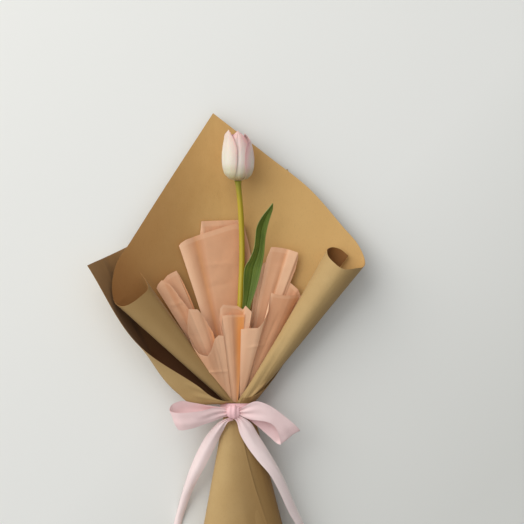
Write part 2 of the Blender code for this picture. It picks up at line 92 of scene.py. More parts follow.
class Look:
    """A node material in the making."""

    def __init__(self, name, roughness, **constants):
        self.material = bpy.data.materials.new(name)
        self.material.use_nodes = True
        self.tree = self.material.node_tree
        self.shader = self.tree.nodes["Principled BSDF"]
        self.output = self.tree.nodes["Material Output"]
        self.shader.inputs["Roughness"].default_value = roughness
        for key, value in constants.items():
            self.shader.inputs[key.replace("_", " ")].default_value = value

    def node(self, kind, **inputs):
        made = self.tree.nodes.new(kind)
        for key, value in inputs.items():
            socket = made.inputs[key.replace("_", " ")]
            if isinstance(value, bpy.types.NodeSocket):
                self.tree.links.new(value, socket)
            else:
                socket.default_value = value
        return made

    def math(self, operation, *values):
        made = self.tree.nodes.new("ShaderNodeMath")
        made.operation = operation
        for socket, value in zip(made.inputs, values):
            if isinstance(value, bpy.types.NodeSocket):
                self.tree.links.new(value, socket)
            else:
                socket.default_value = value
        return made.outputs[0]

    def coordinates(self, stretch=(1.0, 1.0, 1.0), source="Object"):
        """Coordinates of the surface, in metres on the object or from 0 to 1 on its own grid."""
        where = self.node("ShaderNodeTexCoord")
        mapping = self.node("ShaderNodeMapping", Vector=where.outputs[source], Scale=stretch)
        return mapping.outputs[0]

    def across_along(self):
        """The grid's own coordinates: across the sheet and along it, each from 0 to 1."""
        split = self.node("ShaderNodeSeparateXYZ", Vector=self.node("ShaderNodeTexCoord").outputs["UV"])
        return split.outputs[0], split.outputs[1]

    def noise(self, scale, detail=3.0, rough=0.5, stretch=(1.0, 1.0, 1.0), source="Object"):
        made = self.node("ShaderNodeTexNoise", Vector=self.coordinates(stretch, source))
        made.inputs["Scale"].default_value = scale
        made.inputs["Detail"].default_value = detail
        made.inputs["Roughness"].default_value = rough
        return made.outputs[0]

    def ramp(self, factor, low, high):
        """0 below low, 1 above high, straight between."""
        made = self.node("ShaderNodeMapRange", Value=factor)
        made.inputs["From Min"].default_value = low
        made.inputs["From Max"].default_value = high
        return made.outputs[0]

    def mix(self, factor, first, second):
        made = self.tree.nodes.new("ShaderNodeMix")
        made.data_type = "RGBA"
        sockets = {"Factor": made.inputs[0], "A": made.inputs[6], "B": made.inputs[7]}
        for key, value in zip(("Factor", "A", "B"), (factor, first, second)):
            if isinstance(value, bpy.types.NodeSocket):
                self.tree.links.new(value, sockets[key])
            else:
                sockets[key].default_value = value if key == "Factor" else (*value, 1.0)
        return made.outputs[2]

    def toned(self, body, light, deep):
        """The body colour, lighter or deeper where the mesh's tone attribute is above or below zero: painted light
        and painted shade, and on the tissue also its doubled layers.
        """
        tone = self.node("ShaderNodeAttribute")
        tone.attribute_name = "tone"
        up = self.math("MAXIMUM", tone.outputs["Fac"], 0.0)
        down = self.math("MAXIMUM", self.math("MULTIPLY", tone.outputs["Fac"], -1.0), 0.0)
        return self.mix(up, self.mix(down, body, deep), light)

    def colour(self, value):
        self.tree.links.new(value, self.shader.inputs["Base Color"])

    def rough(self, value):
        self.tree.links.new(value, self.shader.inputs["Roughness"])

    def bump(self, height, distance, strength=1.0):
        made = self.node("ShaderNodeBump", Height=height)
        made.inputs["Distance"].default_value = distance
        made.inputs["Strength"].default_value = strength
        self.tree.links.new(made.outputs[0], self.shader.inputs["Normal"])

    def shine_through(self, share, colour):
        """Let part of the light through to the other side, as thin paper and petals do."""
        through = self.tree.nodes.new("ShaderNodeBsdfTranslucent")
        if isinstance(colour, bpy.types.NodeSocket):
            self.tree.links.new(colour, through.inputs["Color"])
        else:
            through.inputs["Color"].default_value = (*colour, 1.0)
        mixer = self.tree.nodes.new("ShaderNodeMixShader")
        mixer.inputs[0].default_value = share
        self.tree.links.new(self.shader.outputs[0], mixer.inputs[1])
        self.tree.links.new(through.outputs[0], mixer.inputs[2])
        self.tree.links.new(mixer.outputs[0], self.output.inputs["Surface"])


def kraft(name, pale, deep, bright, painted_shade_colour):
    """Uncoated kraft paper: cloudy pulp, short fibres and fine ribs, with painted light and painted shade laid on by
    the mesh's tone attribute.
    """
    look = Look(name, 0.72, Specular_IOR_Level=0.35, Sheen_Weight=0.06)
    clouds = look.noise(38.0, 4.0, 0.55)
    fibres = look.noise(900.0, 3.0, 0.65, (1.0, 0.28, 1.0))
    # painted light and painted shade: the tone attribute mixes the bright colour and the dark colour into the pulp
    # colour
    tone = look.toned(look.mix(look.ramp(clouds, 0.32, 0.68), pale, deep), bright, painted_shade_colour)
    speck = look.ramp(fibres, 0.22, 0.44)
    shaded = look.mix(0.12, tone, (0.0, 0.0, 0.0))
    look.colour(look.mix(speck, shaded, tone))
    ribs = look.noise(1500.0, 2.0, 0.5, (0.10, 1.0, 1.0))
    look.bump(look.math("ADD", fibres, look.math("MULTIPLY", ribs, 0.5)), 0.00012, 0.35)
    look.rough(look.math("ADD", look.math("MULTIPLY", clouds, 0.12), 0.66))
    return look.material


def tissue_look(name, colour, light, deep):
    """Thin peach tissue letting light through: lighter where it is doubled and, as painted light, on its ridges;
    deeper orange in its folds as painted shade.
    """
    look = Look(name, 0.72, Specular_IOR_Level=0.25, Sheen_Weight=0.08, Alpha=0.93)
    clouds = look.noise(60.0, 3.0, 0.5)
    body = look.mix(look.ramp(clouds, 0.3, 0.7), colour, tuple(0.95 * value for value in colour))
    toned = look.toned(body, light, deep)
    _, along = look.across_along()
    hem = look.math("MULTIPLY", look.ramp(along, 0.972, 0.978), 0.35)
    look.colour(look.mix(hem, toned, light))
    wrinkles = look.noise(48.0, 2.0, 0.5)
    crinkle = look.noise(260.0, 4.0, 0.6)
    look.bump(look.math("ADD", wrinkles, look.math("MULTIPLY", crinkle, 0.10)), 0.0016, 0.6)
    look.shine_through(0.18, toned)
    return look.material


def petal_look(name, white, pink, blush):
    """A tepal: white, flushed with pink towards its edges and tip, green at its base, with fine veins."""
    look = Look(name, 0.46, Specular_IOR_Level=0.4, Sheen_Weight=0.25, Subsurface_Weight=0.12,
                Subsurface_Scale=0.004)
    across, along = look.across_along()
    side = look.math("ABSOLUTE", look.math("SUBTRACT", across, 0.5))
    veins = look.noise(1.0, 3.0, 0.6, (90.0, 3.0, 1.0), "UV")
    drift = look.math("MULTIPLY", look.math("SUBTRACT", veins, 0.5), 0.5)
    edge = look.ramp(look.math("ADD", side, look.math("MULTIPLY", drift, 0.3)), 0.22, 0.50)
    tip = look.ramp(look.math("ADD", along, look.math("MULTIPLY", drift, 0.4)), 0.45, 1.02)
    flush = look.math("MINIMUM", look.math("ADD", look.math("MULTIPLY", edge, blush),
                                           look.math("MULTIPLY", tip, blush)), 1.0)
    green = look.math("SUBTRACT", 1.0, look.ramp(look.math("ADD", along, look.math("MULTIPLY", drift, 0.2)),
                                                 0.02, 0.34))
    flushed = look.mix(flush, white, pink)
    based = look.mix(look.math("MULTIPLY", green, 0.75), flushed, linear(206, 196, 132))
    root = look.math("SUBTRACT", 1.0, look.ramp(along, 0.01, 0.10))
    rooted = look.mix(look.math("MULTIPLY", root, 0.7), based, linear(212, 174, 84))
    rim = look.math("MULTIPLY", look.ramp(side, 0.43, 0.50), look.ramp(along, 0.12, 0.40))
    look.colour(look.mix(look.math("MULTIPLY", rim, 0.5), rooted, linear(208, 150, 150)))
    look.bump(veins, 0.0006, 0.5)
    look.shine_through(0.12, white)
    return look.material


def leaf_look():
    """Dark satin leaf: parallel veins and a paler margin."""
    look = Look("leaf_green", 0.42, Specular_IOR_Level=0.45, Coat_Weight=0.08, Coat_Roughness=0.4)
    across, _ = look.across_along()
    veins = look.noise(1.0, 2.0, 0.5, (70.0, 2.5, 1.0), "UV")
    clouds = look.noise(45.0, 3.0, 0.5)
    dark = look.mix(look.ramp(clouds, 0.3, 0.7), linear(66, 92, 24), linear(100, 126, 34))
    body = look.mix(look.ramp(veins, 0.42, 0.62), dark, linear(130, 148, 52))
    side = look.math("ABSOLUTE", look.math("SUBTRACT", across, 0.5))
    margin = look.ramp(side, 0.465, 0.49)
    look.colour(look.mix(look.math("MULTIPLY", margin, 0.6), body, linear(150, 160, 90)))
    look.bump(veins, 0.0008, 0.6)
    look.rough(look.math("ADD", look.math("MULTIPLY", veins, 0.2), 0.34))
    look.shine_through(0.10, linear(120, 160, 40))
    return look.material


def stem_look():
    """Yellow-green stem with faint lengthwise streaks, greener near the bloom."""
    look = Look("stem_green", 0.38, Specular_IOR_Level=0.5)
    _, along = look.across_along()
    streaks = look.noise(1.0, 3.0, 0.5, (26.0, 5.0, 1.0), "UV")
    body = look.mix(look.ramp(streaks, 0.3, 0.7), linear(174, 154, 36), linear(194, 170, 42))
    upper = look.math("MULTIPLY", look.ramp(along, 0.93, 1.0), 0.7)
    look.colour(look.mix(upper, body, linear(126, 132, 44)))
    look.bump(streaks, 0.0003, 0.5)
    return look.material


def satin_look(name, colour, deep):
    """Satin ribbon: a very fine weave, a soft sheen, and a woven selvage along both edges."""
    look = Look(name, 0.36, Specular_IOR_Level=0.5, Sheen_Weight=0.5, Sheen_Roughness=0.35)
    across, along = look.across_along()
    clouds = look.noise(70.0, 3.0, 0.5)
    plain = look.mix(look.ramp(clouds, 0.3, 0.7), colour, deep)
    # painted light and painted shade from the tone attribute: lighter tails, deeper pink at the knot and the loops'
    # ends
    body = look.toned(plain, linear(255, 242, 238), linear(242, 188, 190))
    side = look.math("ABSOLUTE", look.math("SUBTRACT", across, 0.5))
    selvage = look.ramp(side, 0.462, 0.470)
    look.colour(look.mix(look.math("MULTIPLY", selvage, 0.35), body, tuple(0.88 * v for v in deep)))
    weft = look.noise(1.0, 2.0, 0.5, (60.0, 900.0, 1.0), "UV")
    warp = look.noise(1.0, 2.0, 0.5, (240.0, 12.0, 1.0), "UV")
    weave = look.math("ADD", look.math("MULTIPLY", weft, 0.6), warp)
    look.bump(weave, 0.00010, 0.6)
    look.rough(look.math("ADD", look.math("MULTIPLY", warp, 0.16), 0.30))
    look.shine_through(0.12, colour)
    return look.material


def plain_look(name, pale, deep, roughness, scale, depth, **constants):
    """A moulded or grown surface with a slightly cloudy colour and a fine grain."""
    look = Look(name, roughness, **constants)
    clouds = look.noise(scale, 4.0, 0.6)
    look.colour(look.mix(look.ramp(clouds, 0.3, 0.7), pale, deep))
    look.bump(look.noise(scale * 9.0, 3.0, 0.6), depth, 0.5)
    return look.material


# the last two colours of each kraft are its painted light and painted shade; kraft_pouch has the darkest painted
# shade, for the slot deep inside the outer sheet
KRAFT_FRONT = kraft("kraft_front", linear(202, 160, 98), linear(197, 154, 92), linear(214, 173, 109),
                    linear(136, 88, 38))
KRAFT_BACK = kraft("kraft_back", linear(190, 159, 107), linear(185, 153, 101), linear(204, 176, 124),
                   linear(142, 108, 60))
KRAFT_POUCH = kraft("kraft_pouch", linear(202, 160, 102), linear(197, 154, 96), linear(214, 173, 113),
                    linear(100, 60, 28))
# the tissue's light colour stands for doubled paper and for painted light on ridges; its deep orange is painted shade
# in the folds
TISSUE = tissue_look("tissue_peach", linear(234, 175, 132), linear(252, 210, 172), linear(255, 178, 100))
PETAL_WHITE = petal_look("petal_white", linear(242, 230, 212), linear(230, 184, 176), 0.55)
PETAL_PINK = petal_look("petal_pink", linear(253, 234, 222), linear(246, 188, 186), 0.8)
LEAF_LOOK = leaf_look()
STEM = stem_look()
RIBBON = satin_look("ribbon_pink", linear(251, 228, 225), linear(247, 220, 218))
# deeper pink for the band and the knot: partly the crushed layers of satin, partly painted shade
RIBBON_DEEP = satin_look("ribbon_pink_deep", linear(253, 208, 210), linear(248, 198, 202))
PISTIL = plain_look("pistil_green", linear(196, 200, 128), linear(170, 180, 100), 0.55, 300.0, 0.0002)
ANTHER = plain_look("anther_yellow", linear(205, 178, 84), linear(170, 140, 60), 0.85, 900.0, 0.0003)
TUBE = plain_look("tube_plastic", linear(206, 222, 214), linear(196, 214, 206), 0.22, 60.0, 0.00005,
                  Transmission_Weight=0.6, IOR=1.45)
CAP = plain_look("cap_rubber", linear(92, 148, 102), linear(78, 132, 90), 0.6, 200.0, 0.0001)
BAND_RUBBER = plain_look("band_rubber", linear(190, 158, 112), linear(172, 140, 96), 0.65, 220.0, 0.0001)


# ---------------------------------------------------------------- curves and fields
def smooth(knots, values, at, corners=()):
    """Cubic curve through the values at the knots; it turns sharply at the knots listed as corners."""
    knots, values, at = np.asarray(knots, float), np.asarray(values, float), np.asarray(at, float)
    step = np.diff(knots)
    slope = np.diff(values, axis=0) / step[:, None]
    leave, arrive = slope.copy(), slope.copy()
    for k in range(1, len(knots) - 1):
        if k not in corners:
            mixed = (slope[k - 1] * step[k] + slope[k] * step[k - 1]) / (step[k - 1] + step[k])
            leave[k] = arrive[k - 1] = mixed
    i = np.clip(np.searchsorted(knots, at, side="right") - 1, 0, len(step) - 1)
    h = step[i][:, None]
    t = ((at - knots[i]) / step[i])[:, None]
    start = values[i] * (1 + 2 * t) * (1 - t) ** 2 + leave[i] * h * t * (1 - t) ** 2
    end = values[i + 1] * t * t * (3 - 2 * t) - arrive[i] * h * t * t * (1 - t)
    return start + end


def spread(points, turns=None):
    """Knot values from 0 to 1, in proportion to the distance and any turn between the points."""
    run = np.linalg.norm(np.diff(np.asarray(points, float), axis=0), axis=1)
    if turns is not None:
        run = run + TURN_WEIGHT * np.diff(turns)
    along = np.concatenate([[0.0], np.cumsum(np.maximum(run, 1.0))])
    return along / along[-1]


def samples(knots, count, corners):
    """Even values from 0 to 1, each corner's own knot among them."""
    at = np.linspace(0.0, 1.0, count)
    for k in corners:
        at[np.argmin(abs(at - knots[k]))] = knots[k]
    return at


def field(x, y, seed):
    """Smooth random field, about -1 to 1, one bump per unit of x and y."""
    table = np.random.RandomState(seed).uniform(-1.0, 1.0, (64, 64))
    x, y = np.broadcast_arrays(np.asarray(x, float), np.asarray(y, float))
    i, j = np.floor(x).astype(int), np.floor(y).astype(int)
    u, v = x - i, y - j
    u, v = u * u * (3 - 2 * u), v * v * (3 - 2 * v)
    near = table[i % 64, j % 64] * (1 - u) + table[(i + 1) % 64, j % 64] * u
    far = table[i % 64, (j + 1) % 64] * (1 - u) + table[(i + 1) % 64, (j + 1) % 64] * u
    return near * (1 - v) + far * v


def normals(grid):
    """Unit normals of a grid of points."""
    cross = np.cross(np.gradient(grid, axis=0), np.gradient(grid, axis=1))
    return cross / np.maximum(np.linalg.norm(cross, axis=2, keepdims=True), 1e-12)


def crease(grid, start, end, width, depth, low=-100.0):
    """Depth of a small crease along a line seen from above, on the parts of a grid above a height."""
    start, end = np.array(start, float), np.array(end, float)
    run = end - start
    offset = grid[..., :2] - start
    along = np.clip((offset @ run) / (run @ run), 0.0, 1.0)
    away = np.linalg.norm(offset - along[..., None] * run, axis=2)
    taper = np.sin(np.pi * np.clip(along, 0.04, 0.96)) ** 0.5
    return depth * np.exp(-(away / width) ** 2) * taper * (grid[..., 2] > low)


# ---------------------------------------------------------------- meshes
def new_object(name, points, faces, looks, indices=None, uvs=None):
    """A mesh object from points in metres; uvs holds one pair for each point."""
    mesh = bpy.data.meshes.new(name)
    mesh.from_pydata(np.asarray(points).tolist(), [], faces)
    for look in looks:
        mesh.materials.append(look)
    if indices is not None:
        mesh.polygons.foreach_set("material_index", indices)
    if uvs is not None:
        layer = mesh.uv_layers.new(name="grid")
        corners = np.empty(len(mesh.loops), dtype=np.int32)
        mesh.loops.foreach_get("vertex_index", corners)
        layer.data.foreach_set("uv", np.asarray(uvs, float)[corners].ravel())
    mesh.shade_smooth()
    mesh.set_sharp_from_angle(angle=math.radians(60))
    made = bpy.data.objects.new(name, mesh)
    bpy.context.collection.objects.link(made)
    return made


def shell(name, grid, thickness, front, back=None, tones=None, back_tones=None):
    """A thin closed sheet round a grid of points, with its front on the side of the grid's normals."""
    n, m = grid.shape[:2]
    lift = normals(grid) * thickness / 2
    points = place(np.concatenate([(grid + lift).reshape(-1, 3), (grid - lift).reshape(-1, 3)]))
    top = np.arange(n * m).reshape(n, m)
    a, b, c, d = (part.ravel() for part in (top[:-1, :-1], top[1:, :-1], top[1:, 1:], top[:-1, 1:]))
    upper = np.column_stack([a, b, c, d])
    lower = np.column_stack([d, c, b, a]) + n * m
    rim = np.concatenate([top[:, 0], top[-1, 1:], top[-2::-1, -1], top[0, -2:0:-1]])
    nxt = np.roll(rim, -1)
    side = np.column_stack([nxt, rim, rim + n * m, nxt + n * m])
    faces = np.concatenate([upper, lower, side]).tolist()
    looks = [front] if back is None else [front, back]
    indices = [0] * len(upper) + [len(looks) - 1] * len(lower) + [0] * len(side)
    u, v = np.meshgrid(np.linspace(0, 1, n), np.linspace(0, 1, m), indexing="ij")
    uvs = np.tile(np.column_stack([u.ravel(), v.ravel()]), (2, 1))
    made = new_object(name, points, faces, looks, indices, uvs)
    if tones is not None:
        layer = made.data.attributes.new("tone", "FLOAT", "POINT")
        behind = tones if back_tones is None else back_tones
        layer.data.foreach_set("value", np.concatenate([tones.ravel(), behind.ravel()]))
    solid = bmesh.new()
    solid.from_mesh(made.data)
    if solid.calc_volume(signed=True) < 0:
        bmesh.ops.reverse_faces(solid, faces=solid.faces)
        solid.to_mesh(made.data)
    solid.free()
    return made


def rod(name, centres, radii, sides, look):
    """A round bar of changing radius along a line of points in millimetres."""
    centres = [Vector(c) for c in centres]
    points, uvs = [], []
    side = Vector((1.0, 0.0, 0.0))
    for k, centre in enumerate(centres):
        before, after = centres[max(k - 1, 0)], centres[min(k + 1, len(centres) - 1)]
        along = (after - before).normalized()
        side = (side - along * side.dot(along)).normalized()
        up = along.cross(side)
        for n in range(sides):
            turn = 2 * math.pi * n / sides
            points.append(centre + (side * math.cos(turn) + up * math.sin(turn)) * radii[k])
            uvs.append((n / sides, k / (len(centres) - 1)))
    faces = []
    for k in range(len(centres) - 1):
        for n in range(sides):
            m = (n + 1) % sides
            faces.append((k * sides + n, k * sides + m, (k + 1) * sides + m, (k + 1) * sides + n))
    last = (len(centres) - 1) * sides
    faces += [tuple(reversed(range(sides))), tuple(last + n for n in range(sides))]
    return new_object(name, place([tuple(p) for p in points]), faces, [look], None, uvs)


def area_of(grid):
    """Area of a grid of points in square metres."""
    half = [np.cross(grid[1:, :-1] - grid[:-1, :-1], grid[:-1, 1:] - grid[:-1, :-1]),
            np.cross(grid[1:, :-1] - grid[1:, 1:], grid[:-1, 1:] - grid[1:, 1:])]
    return sum(np.linalg.norm(h, axis=2).sum() for h in half) / 2 / 1e6


# ---------------------------------------------------------------- gathered paper
TURN_WEIGHT = 1.5                 # millimetres of edge that count as much as a degree of turn
# heights on a sheet, from the neck to its edge, where its billow is given, and the shares of near and far there
PUFF_AT = (0.0, 0.1, 0.2, 0.55, 1.0)
PUFF = ([0.0, 0.0], [0.84, 0.0], [1.0, 0.0], [0.0, 1.0], [0.0, 0.0])


def ring(y, angle, inset):
    """A point on the elliptical cross-section at a height on the neck or the handle."""
    share = max(0.0, (NECK_LOW_Y - y) / (NECK_LOW_Y - HANDLE_Y))
    half_width = NECK_HALF_WIDTH + share * (HANDLE_HALF_WIDTH - NECK_HALF_WIDTH) - inset
    half_depth = NECK_HALF_DEPTH + share * (HANDLE_HALF_DEPTH - NECK_HALF_DEPTH) - inset
    x = NECK_X + share * (HANDLE_X - NECK_X) + half_width * math.cos(math.radians(angle))
    z = NECK_Z + share * (HANDLE_Z - NECK_Z) + half_depth * math.sin(math.radians(angle))
    return (x, y, z)


def heights(low_y, low_rows, neck_rows):
    """Heights of a sheet's cross-sections from its lower end to the neck's top."""
    below = np.linspace(low_y, NECK_LOW_Y, low_rows + 1)
    within = np.linspace(NECK_LOW_Y, NECK_TOP_Y, neck_rows + 1)[1:]
    return [*below, *within]


def gathered(sections, edge, near, far, columns, rows, turns=None, corners=()):
    """Grid of points of a sheet pulled through the neck, and its knot values and heights above the neck."""
    knots = spread(edge, turns)
    at = samples(knots, columns, corners)
    near, far = smooth(knots, near, at), smooth(knots, far, at)
    height = smooth(knots, [point[2:] for point in edge], at)
    edge = smooth(knots, edge, at, corners)
    edge[:, 2] = height[:, 0]
    grid = [smooth(knots, section, at) for section in sections]
    neck = grid.pop()
    for t in np.linspace(0.0, 1.0, rows + 1) ** 1.25:
        push = smooth(PUFF_AT, PUFF, [t])[0]
        grid.append(neck + t * (edge - neck) + push[0] * near + push[1] * far)
    return np.array(grid).transpose(1, 0, 2), knots, at


def beside(a, b, from_a, from_b):
    """The point to the right of the line from a to b, at two distances from its ends."""
    run = b - a
    size = np.linalg.norm(run)
    along = (from_a ** 2 - from_b ** 2 + size ** 2) / (2 * size)
    away = math.sqrt(max(from_a ** 2 - along ** 2, 0.0))
    return a + along * run / size + away * np.array([run[1], -run[0]]) / size


def cut_of(neck, edge, lower=()):
    """Flat width, length and area, in metres, of a sheet's straight pulls laid side by side, with what lies below
    the neck.  It knows nothing of the billow, waves and creases that the finished mesh has."""
    neck, edge = np.array(neck, float), np.array(edge, float)
    feet, tips = [np.zeros(2)], [np.array([0.0, np.linalg.norm(edge[0] - neck[0])])]
    for k in range(len(edge) - 1):
        feet.append(beside(feet[k], tips[k], np.linalg.norm(neck[k + 1] - neck[k]),
                           np.linalg.norm(neck[k + 1] - edge[k])))
        tips.append(beside(feet[-1], tips[k], np.linalg.norm(edge[k + 1] - neck[k + 1]),
                           np.linalg.norm(edge[k + 1] - edge[k])))
    feet, tips = np.array(feet), np.array(tips)
    up = (tips - feet).sum(axis=0)
    up /= np.linalg.norm(up)
    outline = np.concatenate([feet, tips])
    across, along = outline @ np.array([up[1], -up[0]]), outline @ up
    area = area_of(np.stack([neck, edge], axis=1))
    width, length = np.ptp(across), np.ptp(along)
    if len(lower):
        lower = np.array(lower, float)
        area += area_of(lower.transpose(1, 0, 2))
        width = max(width, np.linalg.norm(np.diff(lower[0], axis=0), axis=1).sum())
        length += np.linalg.norm(np.diff(lower[:, 0], axis=0), axis=1).sum()
    return (float(width) / 1000, float(length) / 1000), float(area)


# one line per pull of paper: angle round the neck, inset there, upper edge point, dip below a straight pull
INNER_KRAFT = [
    (113, 2.9, (-104.0, 145.0, 30.0), 0.0),
    (116, 2.6, (-98.0, 137.0, 41.0), 0.0),
    (121, 2.1, (-95.0, 127.0, 50.0), 0.0),
    (128, 1.9, (-103.0, 118.5, 55.0), 0.0),
    (138, 1.9, (-114.0, 110.5, 56.0), 0.0),
    (150, 1.9, (-123.2, 107.5, 53.5), 0.0),
    (164, 1.9, (-131.0, 111.0, 48.0), 0.0),
    (178, 1.9, (-134.4, 124.0, 42.0), 0.0),
    (192, 1.9, (-133.5, 141.0, 36.0), 0.5),
    (204, 1.9, (-128.7, 157.3, 31.0), 1.5),
    (216, 1.9, (-118.1, 173.5, 27.0), 3.0),
    (236, 1.9, (-85.0, 226.0, 22.0), 3.4),
    (268, 1.9, (-24.2, 320.1, 15.0), 1.6),
    (292, 1.9, (37.7, 271.9, 14.0), 1.6),
    (310, 1.9, (82.4, 236.3, 17.0), 2.6),
    (326, 1.9, (119.7, 193.9, 20.0), 3.0),
    (340, 1.9, (135.1, 175.8, 24.0), 2.4),
    (352, 1.9, (142.0, 160.5, 31.0), 1.0),
    (363, 1.9, (141.4, 152.0, 42.0), 0.0),
    (378, 1.9, (133.0, 149.5, 52.0), 0.0),
    (396, 1.9, (119.0, 148.6, 57.5), 0.0),
    (416, 1.9, (108.3, 155.6, 55.0), 0.0),
    (436, 1.9, (101.0, 165.0, 46.0), 0.0),
    (447, 2.1, (102.5, 171.0, 36.5), 0.0),
    (452, 2.5, (108.5, 172.3, 30.5), 0.0),
    (456, 2.7, (117.0, 169.5, 28.0), 0.0),
    (459, 2.9, (124.5, 163.0, 28.5), 0.0),
]
INNER_APEX = 12
ROLL_CREASES = [((124.0, 163.5), (131.5, 150.0), 0.9, 0.9), ((119.5, 141.0), (131.0, 138.0), 0.8, 0.8),
                ((128.0, 166.0), (136.0, 158.0), 0.8, 0.5),
                ((15.0, 6.0), (36.0, 26.0), 1.3, -1.6), ((19.0, 5.0), (38.0, 22.0), 1.2, -1.2),
                ((-128.0, 112.0), (-119.0, 118.0), 1.0, 0.5)]
# painted shade (below zero) and painted light (above zero) on the inner sheet, one value per pull, for its back face
# and then its front face: darkest in the rolled-in corners, lighter right of the apex
INNER_BACK_PAINTED_SHADE = [-0.7, -0.7, -0.7, -0.7, -0.55, -0.5, -0.6, -0.6, -0.6, -0.6, -0.5, -0.4, -0.3, -0.3, -0.3, -0.3,
                    -0.4, -0.6, -0.5, -0.35, -0.05, 0.0, -0.1, -0.2, -0.3, -0.3, -0.3]
INNER_PAINTED_LIGHT_SHADE = [-0.9, -0.9, -0.9, -0.9, -0.9, -0.9, -0.95, -0.95, -0.9, -0.85, -0.7, -0.5, 0.0, 0.25, 0.5, 0.5, 0.3,
               0.0, -0.2, -0.4, -0.7, -0.9, -1.0, -1.0, -1.0, -1.0, -1.0]

# angle round the neck, upper edge point, and the billow near the neck and half way up
OUTER_KRAFT = [
    (88, (-160.7, 152.6, 60.0), (-11.7, -12.3, 0.0), (-18.6, -19.6, -2.0)),
    (120, (-154.0, 156.0, 45.0), (-19.6, -18.8, 2.7), (-18.8, -21.2, -2.0)),
    (165, (-147.0, 159.3, 31.0), (-23.5, -21.4, 3.5), (-16.5, -20.5, -1.0)),
    (200, (-139.0, 163.2, 18.0), (-14.5, -16.0, 1.0), (-14.0, -16.0, -2.0)),
    (214, (-129.0, 168.0, 10.0), (-8.0, -9.0, -1.0), (-9.0, -10.0, -2.0)),
    (228, (-115.0, 175.0, 6.0), (-4.0, -5.0, -1.0), (-5.0, -6.0, -1.5)),
    (250, (-60.0, 201.0, 4.0), (0.0, 0.0, 0.0), (0.0, 0.0, 0.0)),
    (270, (0.0, 230.5, 2.5), (0.0, 0.0, 0.0), (0.0, 0.0, 0.0)),
    (290, (57.8, 259.0, 1.5), (0.0, 0.0, 0.0), (0.0, 0.0, 0.0)),
    (308, (82.0, 200.0, 3.0), (0.0, 0.0, 0.0), (0.0, 0.0, 0.0)),
    (325, (92.0, 141.0, 6.0), (0.0, 0.0, 0.0), (0.0, 0.0, 0.0)),
    (342, (71.0, 79.0, 11.0), (0.0, 0.0, 0.0), (0.0, 0.0, 0.0)),
    (360, (48.5, 36.0, 17.0), (0.0, 0.0, 0.0), (0.0, 0.0, 0.0)),
    (380, (34.3, 18.3, 27.6), (0.0, 0.0, 0.0), (0.0, 0.0, 0.0)),
    (400, (24.6, 10.9, 30.1), (0.0, 0.0, 0.0), (0.0, 0.0, 0.0)),
    (425, (15.3, 7.5, 31.6), (0.0, 0.0, 0.0), (0.0, 0.0, 0.0)),
    (448, (7.9, 7.1, 31.8), (0.0, 0.0, 0.0), (0.0, 0.0, 0.0)),
]
OUTER_CORNER = 8
POUCH_CREASES = [((-44.0, 10.0), (-12.0, 3.0), 2.4, 1.6), ((-52.0, 22.0), (-16.0, 8.0), 2.2, 1.2),
                 ((-32.0, 3.0), (-10.0, 1.5), 1.6, 1.0), ((-24.0, 12.0), (-9.0, 4.5), 1.5, 1.2)]
# angle round the handle and the painted shade laid on the paper there: darkest on the right, away from the light,
# lightest at the upper left
HANDLE_PAINTED_SHADE = ([0.0, 35.0, 60.0, 85.0, 105.0, 130.0, 160.0, 190.0, 270.0, 360.0],
                [[-0.9], [-0.95], [-0.85], [-0.6], [-0.4], [-0.15], [-0.2], [-0.4], [-0.5], [-0.9]])


def gathers(turn, reach, depth, fade):
    """Height of the pleats that run out from the tie, the same for sheets that lie against each other."""
    folds = field(turn / 13.0, 0.0, 11) + 0.6 * field(turn / 6.0, reach / 90.0, 12)
    return depth * folds * np.exp(-reach / fade)


def make_inner_kraft():
    """The inner sheet: a square on its corner, its left and right corners rolled in."""
    low_heights = heights(INNER_SHEET_Y, 12, 4)
    sections = []
    for y in low_heights:
        shrink = 0.8 * max(0.0, (NECK_LOW_Y - y) / (NECK_LOW_Y - INNER_SHEET_Y))
        sections.append([ring(y, angle, inset + shrink) for angle, inset, *_ in INNER_KRAFT])
    edge = [pull[2] for pull in INNER_KRAFT]
    near = [(0.0, 0.0, -0.6 * pull[3]) for pull in INNER_KRAFT]
    far = [(0.0, 0.0, -pull[3]) for pull in INNER_KRAFT]
    turns = [[pull[0]] for pull in INNER_KRAFT]
    grid, knots, at = gathered(sections, edge, near, far, 330, 110, [t[0] for t in turns], (INNER_APEX,))
    turn = smooth(knots, turns, at)
    reach = np.linalg.norm(grid - grid[:, len(low_heights) - 1:len(low_heights)], axis=2)
    above = np.arange(grid.shape[1]) >= len(low_heights) - 1
    pleats = gathers(turn, reach, 1.1, 34.0) * np.minimum(reach / 6.0, 1.0)
    waves = 0.9 * field(turn / 24.0, reach / 120.0, 21) * np.minimum(reach / 60.0, 1.0)
    crinkle = 0.06 * field(turn / 2.2, reach / 9.0, 22) * np.minimum(reach / 40.0, 1.0)
    pressed = sum(crease(grid, *line, 26.0) for line in ROLL_CREASES)
    grid = grid + normals(grid) * ((pleats + waves + crinkle + pressed) * above)[..., None]
    # painted shade and painted light on the front face, weaker near the neck
    tones = smooth(knots, [[tone] for tone in INNER_PAINTED_LIGHT_SHADE], at) * np.minimum(0.3 + reach / 110.0, 1.0)
    # painted shade on the back face, deepest in the gathers right of the tie
    gather_painted_shade = 1.2 * np.exp(-(reach / 28.0) ** 2) * np.clip(1 - abs(turn - 386.0) / 26.0, 0.0, 1.0)
    back_tones = smooth(knots, [[tone] for tone in INNER_BACK_PAINTED_SHADE], at) - gather_painted_shade
    sheet = shell("kraft_inner", grid, 0.45, KRAFT_FRONT, KRAFT_BACK, tones, back_tones)
    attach(sheet, "wrap")
    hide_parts("kraft_inner_sheet")
    flat, area = cut_of(sections[-1], edge, sections)
    return sheet


